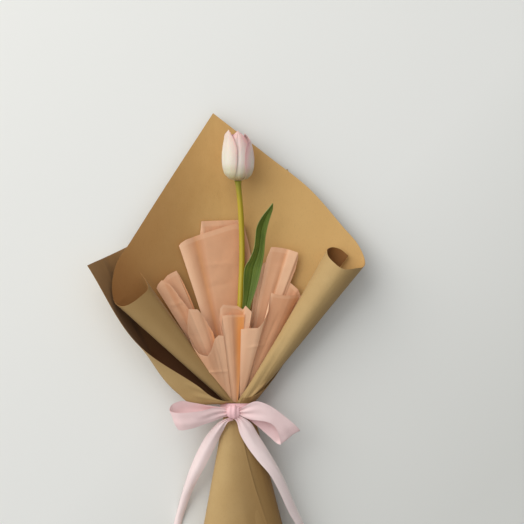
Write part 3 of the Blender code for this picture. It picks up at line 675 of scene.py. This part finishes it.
def make_outer_kraft():
    """The outer sheet: it puffs out on the left, lies behind the inner sheet, and closes into the handle."""
    first = OUTER_KRAFT[0][0]
    low_heights = heights(HANDLE_Y, 60, 6)
    sections = []
    for y in low_heights:
        down = max(0.0, (NECK_LOW_Y - y) / (NECK_LOW_Y - HANDLE_Y))
        section = []
        for angle, *_ in OUTER_KRAFT:
            turn = (angle - first) / 360.0
            inset = turn * (0.8 + 0.7 * down) - 0.2
            section.append(ring(y, angle + down * (turn * HANDLE_LAP - HANDLE_TWIST), inset))
        sections.append(section)
    edge = [pull[1] for pull in OUTER_KRAFT]
    near = [pull[2] for pull in OUTER_KRAFT]
    far = [pull[3] for pull in OUTER_KRAFT]
    turns = [pull[0] for pull in OUTER_KRAFT]
    grid, knots, at = gathered(sections, edge, near, far, 360, 110, turns, (OUTER_CORNER,))
    turn = smooth(knots, [[t] for t in turns], at)
    neck = len(low_heights) - 1
    reach = np.linalg.norm(grid - grid[:, neck:neck + 1], axis=2)
    above = np.arange(grid.shape[1]) >= neck
    pleats = gathers(turn, reach, 1.3, 30.0) * np.minimum(reach / 6.0, 1.0)
    waves = 0.5 * field(turn / 30.0, reach / 110.0, 31) * np.minimum(reach / 60.0, 1.0)
    down = np.clip((NECK_LOW_Y - grid[..., 1]) / (NECK_LOW_Y - HANDLE_Y), 0.0, 1.0)
    drape = (1.5 * field(turn / 34.0, down * 1.2, 41) + 0.25 * field(turn / 9.0, down * 3.0, 42)) * down ** 0.6
    drape += 0.5 * field(turn / 12.0, 0.0, 43) * np.exp(-down * 9.0) * np.minimum(down * 30.0, 1.0)
    pressed = sum(crease(grid, *line, 12.0) for line in POUCH_CREASES)
    offset = np.where(above, pleats + waves - pressed, -drape)
    grid = grid + normals(grid) * offset[..., None]
    grid[..., 2] = np.maximum(grid[..., 2], 1.1)
    # painted shade on the outer sheet's inner face above the neck, deepest near the neck in the pouch and the slot;
    # on its outer face painted shade above the neck, deeper on the flap right of the tie, and round the handle by
    # angle
    tones = -np.clip(1.35 - reach / 260.0, 0.55, 1.0) * above * np.clip((300.0 - turn) / 60.0, 0.0, 1.0)
    shaded = smooth(*HANDLE_PAINTED_SHADE, np.clip((turn + down * (turn / 6.0 - 70.0)) % 360.0, 0.0, 360.0).ravel())
    back_tones = np.where(above, -0.25 - 0.5 * (turn > 340.0), shaded.reshape(turn.shape[0], -1))
    sheet = shell("kraft_outer", grid, 0.45, KRAFT_POUCH, KRAFT_BACK, tones, back_tones)
    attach(sheet, "wrap")
    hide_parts("kraft_outer_sheet")
    flat, area = cut_of(sections[-1], edge, sections)
    return sheet


# ---------------------------------------------------------------- tissue
# name: (replaced nodes, place in the neck at each end, upper edge points, each with the tone of its fold: above zero
# lighter, for doubled paper and as painted light on ridges; below zero painted shade in the valleys)
TISSUES = {
    "tissue_1_rear": (["tissue_rear"], (-3.0, 11.6), (2.6, 11.6), [
        (-38.8, 184.0, 16.0, 0.5), (-37.0, 201.0, 17.5, 0.6), (-34.0, 201.2, 17.0, 0.1),
        (-20.0, 201.8, 15.5, 0.1), (1.6, 202.5, 14.8, 0.0), (6.5, 202.0, 14.5, 0.0)]),
    "tissue_2_back": (["tissue_back"], (-4.8, 12.9), (5.2, 12.9), [
        (-61.8, 173.9, 21.5, 0.9), (-60.0, 176.6, 22.5, 0.9), (-54.5, 180.4, 23.0, 0.5), (-48.5, 182.6, 21.5, 0.1),
        (-44.0, 184.4, 19.8, -0.3), (-40.0, 185.8, 19.4, -0.1), (-35.0, 187.6, 20.2, 0.25),
        (-24.0, 191.0, 20.0, 0.2), (-11.0, 195.4, 19.0, 0.1), (0.0, 198.5, 18.0, 0.0), (9.5, 197.5, 16.2, 0.0),
        (14.0, 180.0, 14.8, 0.1), (17.6, 162.8, 13.8, 0.4)]),
    "tissue_3_left_rear": (["tissue_left_rear"], (-6.6, 14.2), (-3.0, 14.2), [
        (-80.5, 134.0, 24.0, 0.2), (-74.3, 141.5, 25.0, 0.3), (-69.0, 144.4, 25.0, 0.3), (-64.0, 146.8, 24.5, 0.4),
        (-61.5, 143.0, 23.5, -0.1), (-56.0, 132.0, 22.5, -0.3), (-50.0, 119.0, 21.5, -0.2)]),
    "tissue_4_left": (["tissue_left"], (-8.2, 16.0), (-3.6, 16.0), [
        (-86.2, 127.0, 29.0, 0.4), (-84.5, 131.5, 30.0, 0.5), (-80.8, 135.9, 31.0, 0.5), (-77.5, 135.5, 32.0, 0.1),
        (-72.5, 132.6, 33.0, 0.1), (-69.0, 129.2, 32.5, 0.2), (-62.2, 119.9, 31.5, 0.3), (-50.8, 104.6, 28.5, 0.1)]),
    "tissue_5_cup": (["tissue_front_left"], (-3.6, 18.4), (-3.2, 25.6), [
        (-24.0, 79.0, 28.0, -0.5), (-29.0, 87.0, 28.5, -0.1), (-35.0, 97.0, 30.0, 0.3), (-41.0, 104.2, 32.5, 0.5),
        (-50.8, 104.6, 34.5, 0.8), (-52.4, 92.0, 36.0, 0.5), (-51.8, 78.0, 38.0, 0.4), (-47.0, 65.0, 39.5, 0.5),
        (-39.0, 55.5, 40.5, 0.4), (-30.2, 52.6, 40.0, 0.3), (-25.5, 60.0, 39.0, 0.5), (-22.0, 72.0, 38.0, 0.8),
        (-18.2, 75.9, 37.5, 0.8), (-12.4, 75.2, 36.5, 0.7)]),
    "tissue_6_centre": (["tissue_centre"], (-2.6, 25.0), (3.0, 25.0), [
        (-13.5, 75.9, 33.0, 0.2), (-17.0, 92.0, 34.0, 0.6), (-16.2, 105.2, 34.5, 0.8), (-13.0, 109.5, 34.5, 0.5),
        (-4.0, 108.5, 33.0, 0.1), (3.0, 108.0, 32.5, -0.1), (9.0, 104.0, 32.0, -0.4), (11.5, 108.5, 34.0, 0.7),
        (18.7, 101.2, 34.0, 0.8), (15.8, 93.2, 32.0, 0.3), (17.8, 84.0, 30.0, 0.0)]),
    "tissue_7_front": ([], (-2.9, 26.4), (3.2, 26.0), [
        (-12.6, 75.2, 37.0, 0.5), (-14.4, 86.0, 37.5, 0.7), (-14.0, 97.2, 38.0, 0.8), (-8.5, 98.0, 38.3, 0.5),
        (-4.0, 98.3, 37.6, 0.2), (0.0, 98.4, 36.2, -0.3), (4.0, 98.5, 35.0, -0.9), (8.0, 98.6, 34.2, -1.0),
        (11.0, 98.6, 34.0, -0.6)]),
    "tissue_8_right_front": (["tissue_right_front", "tissue_right_low"], (5.0, 25.6), (12.6, 20.0), [
        (6.5, 82.6, 37.0, 1.0), (14.0, 83.6, 38.0, 0.8), (25.2, 83.9, 38.0, 0.8), (28.5, 86.5, 38.0, 0.8),
        (32.5, 91.9, 37.8, 0.9), (36.5, 102.6, 37.0, 1.0), (38.0, 114.6, 36.0, 1.0), (39.8, 122.6, 35.5, 0.9),
        (43.5, 121.0, 35.0, 0.2), (55.0, 119.4, 33.5, 0.1), (61.0, 119.4, 32.0, 0.1), (67.2, 119.9, 29.5, -0.2),
        (71.0, 121.0, 27.5, -0.3)]),
    "tissue_9_right": (["tissue_right"], (3.4, 14.4), (10.0, 14.4), [
        (34.5, 160.0, 21.5, 0.5), (39.8, 172.6, 22.5, 0.6), (44.0, 172.6, 23.0, 0.2), (52.0, 171.6, 23.2, 0.3),
        (57.5, 170.4, 22.6, -0.1), (60.5, 169.6, 24.6, 0.8), (69.2, 166.6, 25.5, 0.9), (69.4, 161.2, 23.5, 0.5),
        (66.4, 147.9, 22.5, 0.4)]),
    "tissue_10_sheer": ([], (3.0, 13.7), (8.0, 13.7), [
        (23.0, 134.0, 18.5, 0.9), (25.5, 141.0, 19.0, 0.9), (27.5, 146.0, 19.5, 0.2), (31.2, 154.6, 20.0, 0.7),
        (36.0, 158.0, 19.5, 0.2), (46.0, 158.0, 19.0, 0.0)]),
    "tissue_11_corner": ([], (9.6, 13.2), (11.8, 13.4), [
        (58.0, 134.0, 21.0, 0.3), (62.0, 132.5, 22.0, 0.4), (69.8, 125.6, 22.5, 0.1), (72.5, 118.0, 21.5, 0.0)]),
}
TISSUE_CREASES = {
    "tissue_2_back": [((-38.0, 152.5), (4.0, 155.0), 1.6, 0.7), ((-30.0, 128.0), (-2.0, 134.0), 2.0, -0.6)],
    "tissue_4_left": [((-74.0, 108.0), (-56.0, 112.0), 1.6, 0.6)],
    "tissue_5_cup": [((-34.0, 35.0), (-4.0, 36.5), 1.4, 0.7), ((-52.0, 78.0), (-38.0, 72.0), 1.8, 0.6),
                     ((-20.0, 60.0), (-12.0, 24.0), 1.8, 0.5)],
    "tissue_8_right_front": [((14.0, 62.0), (34.0, 66.0), 1.8, 0.6), ((24.0, 44.0), (48.0, 100.0), 1.8, -0.6)],
    "tissue_9_right": [((37.0, 152.0), (60.0, 150.0), 1.5, 0.6)],
}
CUP_NECK = [(-4.6, 17.8), (-5.2, 18.0), (-5.9, 18.3), (-6.8, 18.8), (-8.4, 19.6), (-9.2, 20.6), (-9.4, 21.8),
            (-9.2, 22.8), (-8.6, 23.8), (-7.6, 24.8), (-6.6, 25.3), (-5.4, 25.6), (-4.4, 25.7), (-3.2, 25.7)]


def rounded(values, width):
    """Values along a line with their sharp turns softened over a number of samples."""
    kernel = np.hanning(width + 2)[1:-1]
    kernel /= kernel.sum()
    padded = np.concatenate([[values[0]] * (width // 2), values, [values[-1]] * (width // 2)])
    return np.array([np.convolve(padded[:, k], kernel, "valid") for k in range(values.shape[1])]).T


def make_tissue(number, name, columns=150, rows=84):
    """One leaf of tissue: a narrow pleated strip in the neck and a fan above it."""
    nodes, start, end, points = TISSUES[name]
    tone = [point[3] for point in points]
    points = [point[:3] for point in points]
    knots = spread(points)
    at = samples(knots, columns, range(1, len(points) - 1))
    edge = np.array([np.interp(at, knots, np.array(points)[:, k]) for k in range(3)]).T
    edge = rounded(edge, 3)
    edge[:, 2] = rounded(edge[:, 2:3], 9)[:, 0]
    if name == "tissue_5_cup":
        neck = np.array([np.interp(at, knots, np.array(CUP_NECK)[:, k]) for k in range(2)]).T
    else:
        neck = np.array(start) + at[:, None] * (np.array(end) - np.array(start))
    low_heights = heights(TISSUE_END_Y, 3, 3)
    grid = [np.column_stack([neck[:, 0], np.full(columns, y), neck[:, 1]]) for y in low_heights]
    top = grid.pop()
    low = len(grid)
    for t in np.linspace(0.0, 1.0, rows + 1) ** 1.1:
        grid.append(top + t * (edge - top))
    grid = np.array(grid).transpose(1, 0, 2)
    reach = np.linalg.norm(grid - grid[:, low:low + 1], axis=2)
    share = np.clip(reach / 90.0, 0.0, 1.0)
    seed = 100 + 7 * number
    across = at[:, None]
    billow = 1.1 * field(across * 3.0, reach / 55.0, seed) * share * (1 - 0.3 * share)
    wrinkles = 0.35 * field(across * 7.0, reach / 16.0, seed + 2) * share
    grid = grid + normals(grid) * (billow + wrinkles)[..., None]
    folded = sum(crease(grid, *line) for line in TISSUE_CREASES.get(name, ())) + np.zeros(reach.shape)
    grid = grid + normals(grid) * folded[..., None]
    # the tone of each fold: lighter for doubled paper and as painted light on ridges, painted shade in the valleys,
    # weaker towards the neck
    tones = np.interp(at, knots, tone)[:, None] * np.minimum(0.45 + 0.75 * share, 1.0)
    sheet = shell(name, grid, 0.12, TISSUE, None, tones)
    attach(sheet, "wrap")
    if nodes:
        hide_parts(*nodes)
    feet = np.array([np.interp(knots, at, neck[:, k]) for k in range(2)]).T
    ends = (TISSUE_END_Y, NECK_TOP_Y)
    strip = [np.column_stack([feet[:, 0], np.full(len(knots), y), feet[:, 1]]) for y in ends]
    flat, area = cut_of(strip[-1], points, strip)
    return sheet


# ---------------------------------------------------------------- flower
STEM_RADIUS = 3.3
STEM_X, STEM_LEAN, STEM_Z, STEM_END_Y, STEM_STRAIGHT_Y = 0.8, 0.045, 21.0, -120.0, 150.0
BLOOM_BASE = (3.4, 245.5, 38.5)


def make_stem():
    """The stem from its cut end in the water tube to the bloom."""
    straight = [(STEM_X + STEM_LEAN * y, y, STEM_Z) for y in (STEM_END_Y, 0.0, 130.0, STEM_STRAIGHT_Y)]
    route = straight + [(7.6, 180.0, 23.5), (6.2, 214.0, 30.0), BLOOM_BASE]
    at = np.linspace(0.0, 1.0, 140)
    centres = smooth(spread(route), route, at)
    receptacle = 1.2 * np.clip((at - 0.975) / 0.025, 0, 1) ** 2
    radii = STEM_RADIUS * (1 - 0.12 * at ** 3 + 0.015 * field(at * 40, 0.0, 5)) + receptacle
    stem = rod("stem", centres, radii, 28, STEM)
    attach(stem, "flower")
    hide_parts("tulip_stem")


# left edge, right edge and how far the middle lies below the line between them
LEAF = [
    ((1.6, 66.0, 22.5), (10.8, 66.0, 22.5), -3.0),
    ((3.4, 86.0, 24.5), (15.0, 86.0, 24.5), -2.0),
    ((8.0, 107.4, 27.5), (17.0, 107.4, 27.0), 0.5),
    ((9.2, 124.0, 31.5), (22.0, 122.8, 27.5), 1.5),
    ((9.6, 140.0, 34.0), (26.6, 138.2, 28.0), 2.0),
    ((11.2, 151.0, 36.0), (29.6, 152.0, 29.0), 2.2),
    ((16.0, 159.0, 37.5), (31.8, 163.0, 31.0), 2.4),
    ((20.9, 171.0, 39.5), (32.8, 174.0, 33.0), 2.4),
    ((22.6, 184.5, 41.0), (33.8, 185.0, 36.0), 2.0),
    ((24.0, 194.5, 43.0), (36.4, 197.0, 39.0), 1.6),
    ((30.2, 206.5, 46.0), (39.8, 208.0, 42.5), 1.0),
    ((37.0, 215.0, 47.5), (41.7, 215.4, 45.0), 0.5),
    ((41.2, 220.4, 47.2), (41.6, 220.3, 47.0), 0.0),
]


def make_leaf(columns=41, rows=160):
    """The leaf: it clasps the stem above the tie, rises beside it and twists towards its tip."""
    middle = [(np.array(one) + np.array(other)) / 2 for one, other, _ in LEAF]
    knots = spread(middle)
    at = np.linspace(0.0, 1.0, rows)
    one = smooth(knots, [row[0] for row in LEAF], at)
    other = smooth(knots, [row[1] for row in LEAF], at)
    sag = smooth(knots, [[row[2]] for row in LEAF], at)[:, 0]
    grid = np.empty((columns, rows, 3))
    for j, share in enumerate(np.linspace(0.0, 1.0, columns)):
        side = 2 * share - 1
        grid[j] = one + share * (other - one)
        grid[j, :, 2] -= sag * (1 - side * side) + 0.9 * math.exp(-(side / 0.12) ** 2)
        grid[j, :, 2] += 0.7 * side * side * field(at * 7, side * 0.6, 51)
    leaf = shell("leaf", grid, 0.6, LEAF_LOOK)
    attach(leaf, "flower")
    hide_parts("tulip_leaf")


PROFILE_AT = (0.0, 0.03, 0.10, 0.22, 0.42, 0.60, 0.80, 0.92, 1.0)
PROFILE = (3.4, 8.2, 13.0, 15.8, 16.9, 16.4, 14.2, 11.6, 7.6)
WIDTH_AT = (0.0, 0.10, 0.25, 0.45, 0.65, 0.80, 0.91, 0.97, 1.0)
WIDTH = (0.60, 0.80, 0.95, 1.00, 0.96, 0.80, 0.54, 0.30, 0.05)

# name: (replaced node, middle angle, half width in degrees, share of the radius, flare of the tip, length, look)
TEPALS = {
    "petal_left": ("tepal_outer_2", 150, 58, 1.0, 4.0, 55.5, PETAL_WHITE),
    "petal_right": ("tepal_outer_1", 6, 56, 0.995, 3.6, 47.5, PETAL_PINK),
    "petal_under": ("tepal_outer_3", 264, 62, 0.985, 1.0, 52.0, PETAL_WHITE),
    "petal_inner_top": ("tepal_inner_1", 90, 58, 0.92, 0.4, 54.5, PETAL_PINK),
    "petal_inner_left": ("tepal_inner_2", 212, 56, 0.89, 0.0, 51.0, PETAL_PINK),
    "petal_inner_right": ("tepal_inner_3", 332, 56, 0.89, 1.5, 51.5, PETAL_PINK),
}


def make_tepal(number, name, columns=61, rows=90):
    """One tepal as a patch of the egg-shaped bloom: cupped, narrowing to a blunt tip, with a soft midrib."""
    node, middle, half, share, flare, length, look = TEPALS[name]
    v = np.linspace(0.0, 1.0, rows)
    reach = smooth(PROFILE_AT, [[r] for r in PROFILE], v)[:, 0] * share
    spreads = smooth(WIDTH_AT, [[w] for w in WIDTH], v)[:, 0]
    grid = np.empty((columns, rows, 3))
    seed = 200 + number
    for j, u in enumerate(np.linspace(-1.0, 1.0, columns)):
        turn = np.radians(middle + u * half * spreads)
        cup = 0.9 * (1 - u * u) * np.sin(math.pi * v) - 0.7 * math.exp(-(u / 0.12) ** 2) * np.sin(math.pi * v) ** 0.5
        lip = 0.8 * abs(u) ** 6 * v
        ripple = 0.5 * field(v * 5 + 3 * u, u * 1.2, seed) * abs(u) ** 2 * v
        radius = reach + cup + lip + ripple + flare * v ** 7
        grid[j] = np.column_stack([radius * np.cos(turn), v * length - 1.4 * u * u * v ** 3, radius * np.sin(turn)])
    grid += np.array(BLOOM_BASE)
    tepal = shell(name, grid, 0.55, look)
    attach(tepal, "flower")
    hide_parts(node)


# ---------------------------------------------------------------- ribbon
# each ribbon is given by its two edges
RIBBONS = {
    "ribbon_loop_left": (
        [(-7.0, -5.5, 40.0), (-14.0, -3.4, 42.0), (-24.0, -3.6, 45.0), (-36.0, -6.8, 48.0), (-52.0, -8.6, 49.5),
         (-66.0, -8.6, 48.0), (-71.8, -6.4, 44.5), (-70.0, -1.0, 41.0), (-60.5, 3.6, 39.0), (-46.0, 2.0, 37.6),
         (-26.0, -1.5, 37.0), (-7.0, -4.0, 38.0)],
        [(-7.0, -11.5, 40.5), (-14.0, -14.5, 41.5), (-24.0, -18.5, 43.5), (-36.0, -22.6, 45.5), (-48.0, -26.4, 46.5),
         (-58.5, -28.2, 45.5), (-62.6, -27.6, 42.0), (-61.5, -24.0, 38.8), (-56.0, -19.5, 37.2), (-44.0, -17.0, 36.4),
         (-26.0, -14.0, 36.4), (-7.0, -11.5, 38.0)]),
    "ribbon_loop_right": (
        [(4.0, -5.5, 40.5), (9.0, -3.0, 42.0), (14.5, 0.6, 44.5), (24.0, 3.9, 48.0), (38.0, -0.6, 50.5),
         (55.0, -12.6, 49.0), (68.0, -24.0, 45.5), (70.8, -28.0, 42.0), (66.0, -26.5, 38.6), (54.0, -18.5, 37.0),
         (36.0, -8.5, 36.6), (18.0, -4.0, 37.0), (4.0, -5.0, 38.5)],
        [(4.0, -11.0, 40.5), (9.5, -13.6, 41.5), (16.0, -15.9, 43.0), (26.0, -17.2, 45.5), (36.0, -19.0, 47.0),
         (44.0, -24.5, 46.5), (49.0, -36.0, 44.0), (50.0, -43.6, 41.0), (47.0, -43.0, 38.0), (38.0, -35.5, 36.4),
         (26.0, -25.0, 36.0), (15.0, -16.8, 36.6), (4.0, -11.0, 38.5)]),
    "ribbon_tail_left": (
        [(-4.0, -14.0, 39.5), (-13.0, -17.0, 38.0), (-24.0, -25.5, 34.5), (-34.0, -38.0, 30.0), (-41.0, -50.0, 26.0),
         (-48.8, -67.0, 20.0), (-56.0, -86.0, 13.0), (-62.5, -108.4, 6.0), (-67.0, -128.0, 2.6),
         (-72.5, -155.0, 1.6), (-79.0, -178.0, 1.6)],
        [(-1.6, -17.0, 39.5), (-7.0, -18.8, 38.6), (-13.0, -28.5, 36.0), (-19.4, -40.9, 33.0), (-25.5, -52.5, 31.6),
         (-33.0, -66.5, 28.5), (-42.0, -83.5, 22.0), (-50.5, -103.0, 13.0), (-58.5, -128.0, 5.0),
         (-63.0, -156.0, 2.0), (-66.0, -186.0, 1.6)]),
    "ribbon_tail_right": (
        [(-1.2, -14.5, 40.0), (2.0, -19.0, 40.5), (5.0, -30.0, 41.5), (12.0, -43.0, 42.5), (25.0, -60.0, 44.5),
         (39.0, -75.5, 44.5), (50.1, -95.1, 40.0), (60.1, -117.2, 33.5), (69.5, -134.0, 27.0), (78.0, -160.0, 13.0),
         (84.5, -185.0, 4.0)],
        [(3.6, -12.0, 40.5), (9.5, -14.4, 41.0), (17.0, -19.5, 40.5), (26.0, -33.0, 39.0), (40.1, -55.0, 37.5),
         (53.1, -77.1, 33.0), (62.2, -97.2, 27.0), (69.0, -114.0, 22.0), (76.5, -131.0, 17.0), (88.0, -156.0, 8.0),
         (97.0, -178.0, 2.4)]),
}

# millimetres by which a strip's middle is curled out of the line between its edges
RIBBON_CURL = {"ribbon_loop_left": 0.9, "ribbon_loop_right": 0.9,
               "ribbon_tail_left": 4.2, "ribbon_tail_right": 3.2}
# a strip's tone at its start and at its end: painted light on the tails, painted shade at the loops' ends
RIBBON_PAINTED_LIGHT_SHADE = {"ribbon_loop_left": (0.0, -0.7), "ribbon_loop_right": (0.1, -0.7), "ribbon_tail_left": (0.3, 0.6),
                "ribbon_tail_right": (0.4, 0.8)}


def make_ribbon(number, name, columns=33, rows=220):
    """A loop or a tail of the bow: a strip bunched into small folds where it leaves the knot."""
    one, other = (np.array(edge, float) for edge in RIBBONS[name])
    knots = spread((one + other) / 2)
    at = np.linspace(0.0, 1.0, rows)
    edges = [smooth(knots, one, at), smooth(knots, other, at)]
    middle = (edges[0] + edges[1]) / 2
    width = np.linalg.norm(edges[1] - edges[0], axis=1)
    grid = np.array([edges[0] + s * (edges[1] - edges[0]) for s in np.linspace(0, 1, columns)])
    from_knot = np.linalg.norm(middle - np.array([-1.5, -8.0, 39.0]), axis=1)
    bunch = np.exp(-from_knot / 13.0)
    across = np.linspace(0.0, 1.0, columns)[:, None]
    seed = 300 + number
    folds = 1.7 * np.sin(2 * math.pi * (across * 2.3 + 0.2 * number)) * bunch
    folds = folds + 0.5 * field(across * 3, at[None, :] * 6, seed) * (1 - bunch)
    opened = np.minimum(from_knot / 30.0, 1.0) * np.clip((width - 6.0) / 4.0, 0.0, 1.0)
    folds = folds + RIBBON_CURL[name] * (4 * (across - 0.5) ** 2 - 0.4) * opened
    normal = normals(grid)
    grid = grid + normal * folds[..., None]
    grid[..., 2] = np.maximum(grid[..., 2], 1.3)
    start, end = RIBBON_PAINTED_LIGHT_SHADE[name]
    # deeper pink near the knot: partly the bunched layers of satin, partly painted shade
    tones = start + (end - start) * at[None, :] ** 1.5 - (0.9 + start) * np.exp(-from_knot / 16.0)
    tones = tones * np.ones((columns, 1))
    ribbon = shell("satin_" + name.split("_", 1)[1], grid, 0.28, RIBBON, None, tones)
    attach(ribbon, "wrap")
    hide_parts(name)


def make_band():
    """The turn of ribbon round the neck, its width crushed into a few folds."""
    sides, rows = 180, 28
    low_y, high_y = NECK_LOW_Y + 1.0, NECK_TOP_Y - 1.0
    grow = band_grow()
    grid = np.empty((rows, sides, 3))
    for i, y in enumerate(np.linspace(low_y, high_y, rows)):
        share = (y - low_y) / (high_y - low_y)
        for k in range(sides):
            angle = 360.0 * k / sides
            fold = 0.22 * math.sin(2 * math.pi * (share * 3.1 + 0.12 * math.sin(math.radians(angle * 2))))
            crown = 0.5 * math.sin(math.pi * share)
            x, _, z = ring(0.0, angle, -(grow + fold + crown))
            grid[i, k] = (x, y, z)
    points, faces, uvs = [], [], []
    for thick in (0.0, 0.35):
        for i in range(rows):
            for k in range(sides):
                centre = np.array([NECK_X, grid[i, k, 1], NECK_Z])
                out = grid[i, k] - centre
                points.append(grid[i, k] + out / np.linalg.norm(out) * thick)
                uvs.append((i / (rows - 1), k / sides))
    count = rows * sides
    for i in range(rows - 1):
        for k in range(sides):
            m = (k + 1) % sides
            a, b, c, d = i * sides + k, i * sides + m, (i + 1) * sides + m, (i + 1) * sides + k
            faces += [(a, b, c, d), (d + count, c + count, b + count, a + count)]
    for row, flip in ((0, False), (rows - 1, True)):
        for k in range(sides):
            a, b = row * sides + k, row * sides + (k + 1) % sides
            quad = (a, a + count, b + count, b)
            faces.append(tuple(reversed(quad)) if flip else quad)
    band = new_object("satin_band", place(points), faces, [RIBBON_DEEP], None, uvs)
    solid = bmesh.new()
    solid.from_mesh(band.data)
    bmesh.ops.recalc_face_normals(solid, faces=solid.faces)
    solid.to_mesh(band.data)
    solid.free()
    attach(band, "wrap")
    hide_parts("ribbon_band")


def band_grow():
    """Distance from the outer sheet's middle to the inside of the ribbon's turn."""
    low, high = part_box("ribbon_band")
    return (high[0] - low[0]) * 500 - NECK_HALF_WIDTH - 0.5


def make_knot(columns=90, rows=70):
    """The knot: one crossing of ribbon pulled tight over the turn, bulged and creased lengthwise."""
    low, high = (np.array(corner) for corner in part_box("ribbon_knot"))
    centre = ((low + high) / 2 - ORIGIN) * 1000
    half = (high - low) * 500
    points, faces, uvs = [], [], []
    for i in range(rows):
        lat = math.pi * i / (rows - 1) - math.pi / 2
        for k in range(columns):
            turn = 2 * math.pi * k / columns
            shape = [abs(math.cos(lat)) ** 0.75, abs(math.sin(lat)) ** 0.9 * math.copysign(1, math.sin(lat))]
            ripple = 1 + 0.07 * math.sin(lat * 9 + 1.2 * math.cos(turn)) * math.cos(lat) ** 0.5
            waist = 1 - 0.16 * math.exp(-(shape[1] / 0.3) ** 2)
            x = half[0] * shape[1] * (1.0 + 0.05 * math.cos(turn * 3))
            y = half[1] * shape[0] * math.cos(turn) * (1 - 0.10 * abs(shape[1])) * ripple
            z = half[2] * shape[0] * math.sin(turn) * ripple * (2 - waist) * 0.92
            tilt = math.radians(-8)
            points.append(centre + np.array([x * math.cos(tilt) - y * math.sin(tilt),
                                             x * math.sin(tilt) + y * math.cos(tilt), z]))
            uvs.append((k / columns, i / rows))
    for i in range(rows - 1):
        for k in range(columns):
            m = (k + 1) % columns
            faces.append((i * columns + k, i * columns + m, (i + 1) * columns + m, (i + 1) * columns + k))
    knot = new_object("satin_knot", place(points), faces, [RIBBON_DEEP], None, uvs)
    solid = bmesh.new()
    solid.from_mesh(knot.data)
    bmesh.ops.remove_doubles(solid, verts=solid.verts, dist=0.00002)
    bmesh.ops.recalc_face_normals(solid, faces=solid.faces)
    solid.to_mesh(knot.data)
    solid.free()
    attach(knot, "wrap")
    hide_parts("ribbon_knot")


# ---------------------------------------------------------------- carried-over CAD nodes
def dress_nodes():
    """Give the CAD nodes that stay visible their own materials."""
    looks = {"pistil": PISTIL, "water_tube": TUBE, "water_tube_cap": CAP, "rubber_band": BAND_RUBBER}
    looks.update({f"stamen_{k}": ANTHER for k in range(1, 7)})
    for name, look in looks.items():
        node = bpy.data.objects[name]
        node.data.materials.clear()
        node.data.materials.append(look)


# ---------------------------------------------------------------- stage
VIEW_X, VIEW_Y = 29.7, 156.2      # middle of the view
VIEW_WIDTH = 576.4
VIEW_HEIGHT = 5000.0


def make_stage():
    """A pale floor, a soft key light from the upper left, and a camera looking straight down."""
    size = 3.0
    mesh = bpy.data.meshes.new("floor")
    corners = [(-size, -size, 0), (size, -size, 0), (size, size, 0), (-size, size, 0)]
    mesh.from_pydata(corners, [], [(0, 1, 2, 3)])
    floor_look = Look("floor_pale", 0.8, Specular_IOR_Level=0.1)
    # painted falloff of light: the floor darkens towards the lower right, away from the key light
    split = floor_look.node("ShaderNodeSeparateXYZ", Vector=floor_look.coordinates())
    painted_falloff = floor_look.math("SUBTRACT", split.outputs[0], split.outputs[1])
    floor_look.colour(floor_look.mix(floor_look.ramp(painted_falloff, 0.0, 0.45), linear(236, 236, 232),
                                     linear(219, 219, 214)))
    mesh.materials.append(floor_look.material)
    floor = bpy.data.objects.new("floor", mesh)
    bpy.context.collection.objects.link(floor)

    middle = Vector(place((VIEW_X, VIEW_Y, 20.0)))
    camera = bpy.data.cameras.new("camera")
    camera.angle = 2 * math.atan(VIEW_WIDTH / 2 / VIEW_HEIGHT)
    camera.clip_end = 20.0
    eye = bpy.data.objects.new("camera", camera)
    eye.location = middle + Vector((0, 0, VIEW_HEIGHT / 1000))
    bpy.context.collection.objects.link(eye)
    bpy.context.scene.camera = eye

    for name, spot, size_m, power, tint in (
            ("key", (-1.1, 1.0, 1.2), 2.2, 24.5, (1.0, 0.985, 0.955)),):
        light = bpy.data.lights.new(name, "AREA")
        light.size = size_m
        light.energy = power
        light.color = tint
        lamp = bpy.data.objects.new(name, light)
        lamp.location = middle + Vector(spot)
        lamp.rotation_euler = (-Vector(spot)).to_track_quat("-Z", "Y").to_euler()
        bpy.context.collection.objects.link(lamp)

    world = bpy.data.worlds.new("soft_room")
    world.use_nodes = True
    tree = world.node_tree
    backdrop = tree.nodes["Background"]
    backdrop.inputs["Color"].default_value = (0.97, 0.985, 1.0, 1.0)
    towards = tree.nodes.new("ShaderNodeVectorMath")
    towards.operation = "DOT_PRODUCT"
    towards.inputs[1].default_value = (-0.74, 0.36, 0.57)
    tree.links.new(tree.nodes.new("ShaderNodeTexCoord").outputs["Generated"], towards.inputs[0])
    bright = tree.nodes.new("ShaderNodeMapRange")
    for key, value in (("From Min", -0.5), ("From Max", 1.0), ("To Min", 0.10), ("To Max", 0.95)):
        bright.inputs[key].default_value = value
    tree.links.new(towards.outputs["Value"], bright.inputs["Value"])
    tree.links.new(bright.outputs[0], backdrop.inputs["Strength"])
    bpy.context.scene.world = world
    bpy.context.scene.view_settings.view_transform = "Standard"


def main():
    make_outer_kraft()
    make_inner_kraft()
    for number, name in enumerate(TISSUES):
        make_tissue(number, name)
    make_stem()
    make_leaf()
    for number, name in enumerate(TEPALS):
        make_tepal(number, name)
    for number, name in enumerate(RIBBONS):
        make_ribbon(number, name)
    make_band()
    make_knot()
    dress_nodes()
    make_stage()


main()
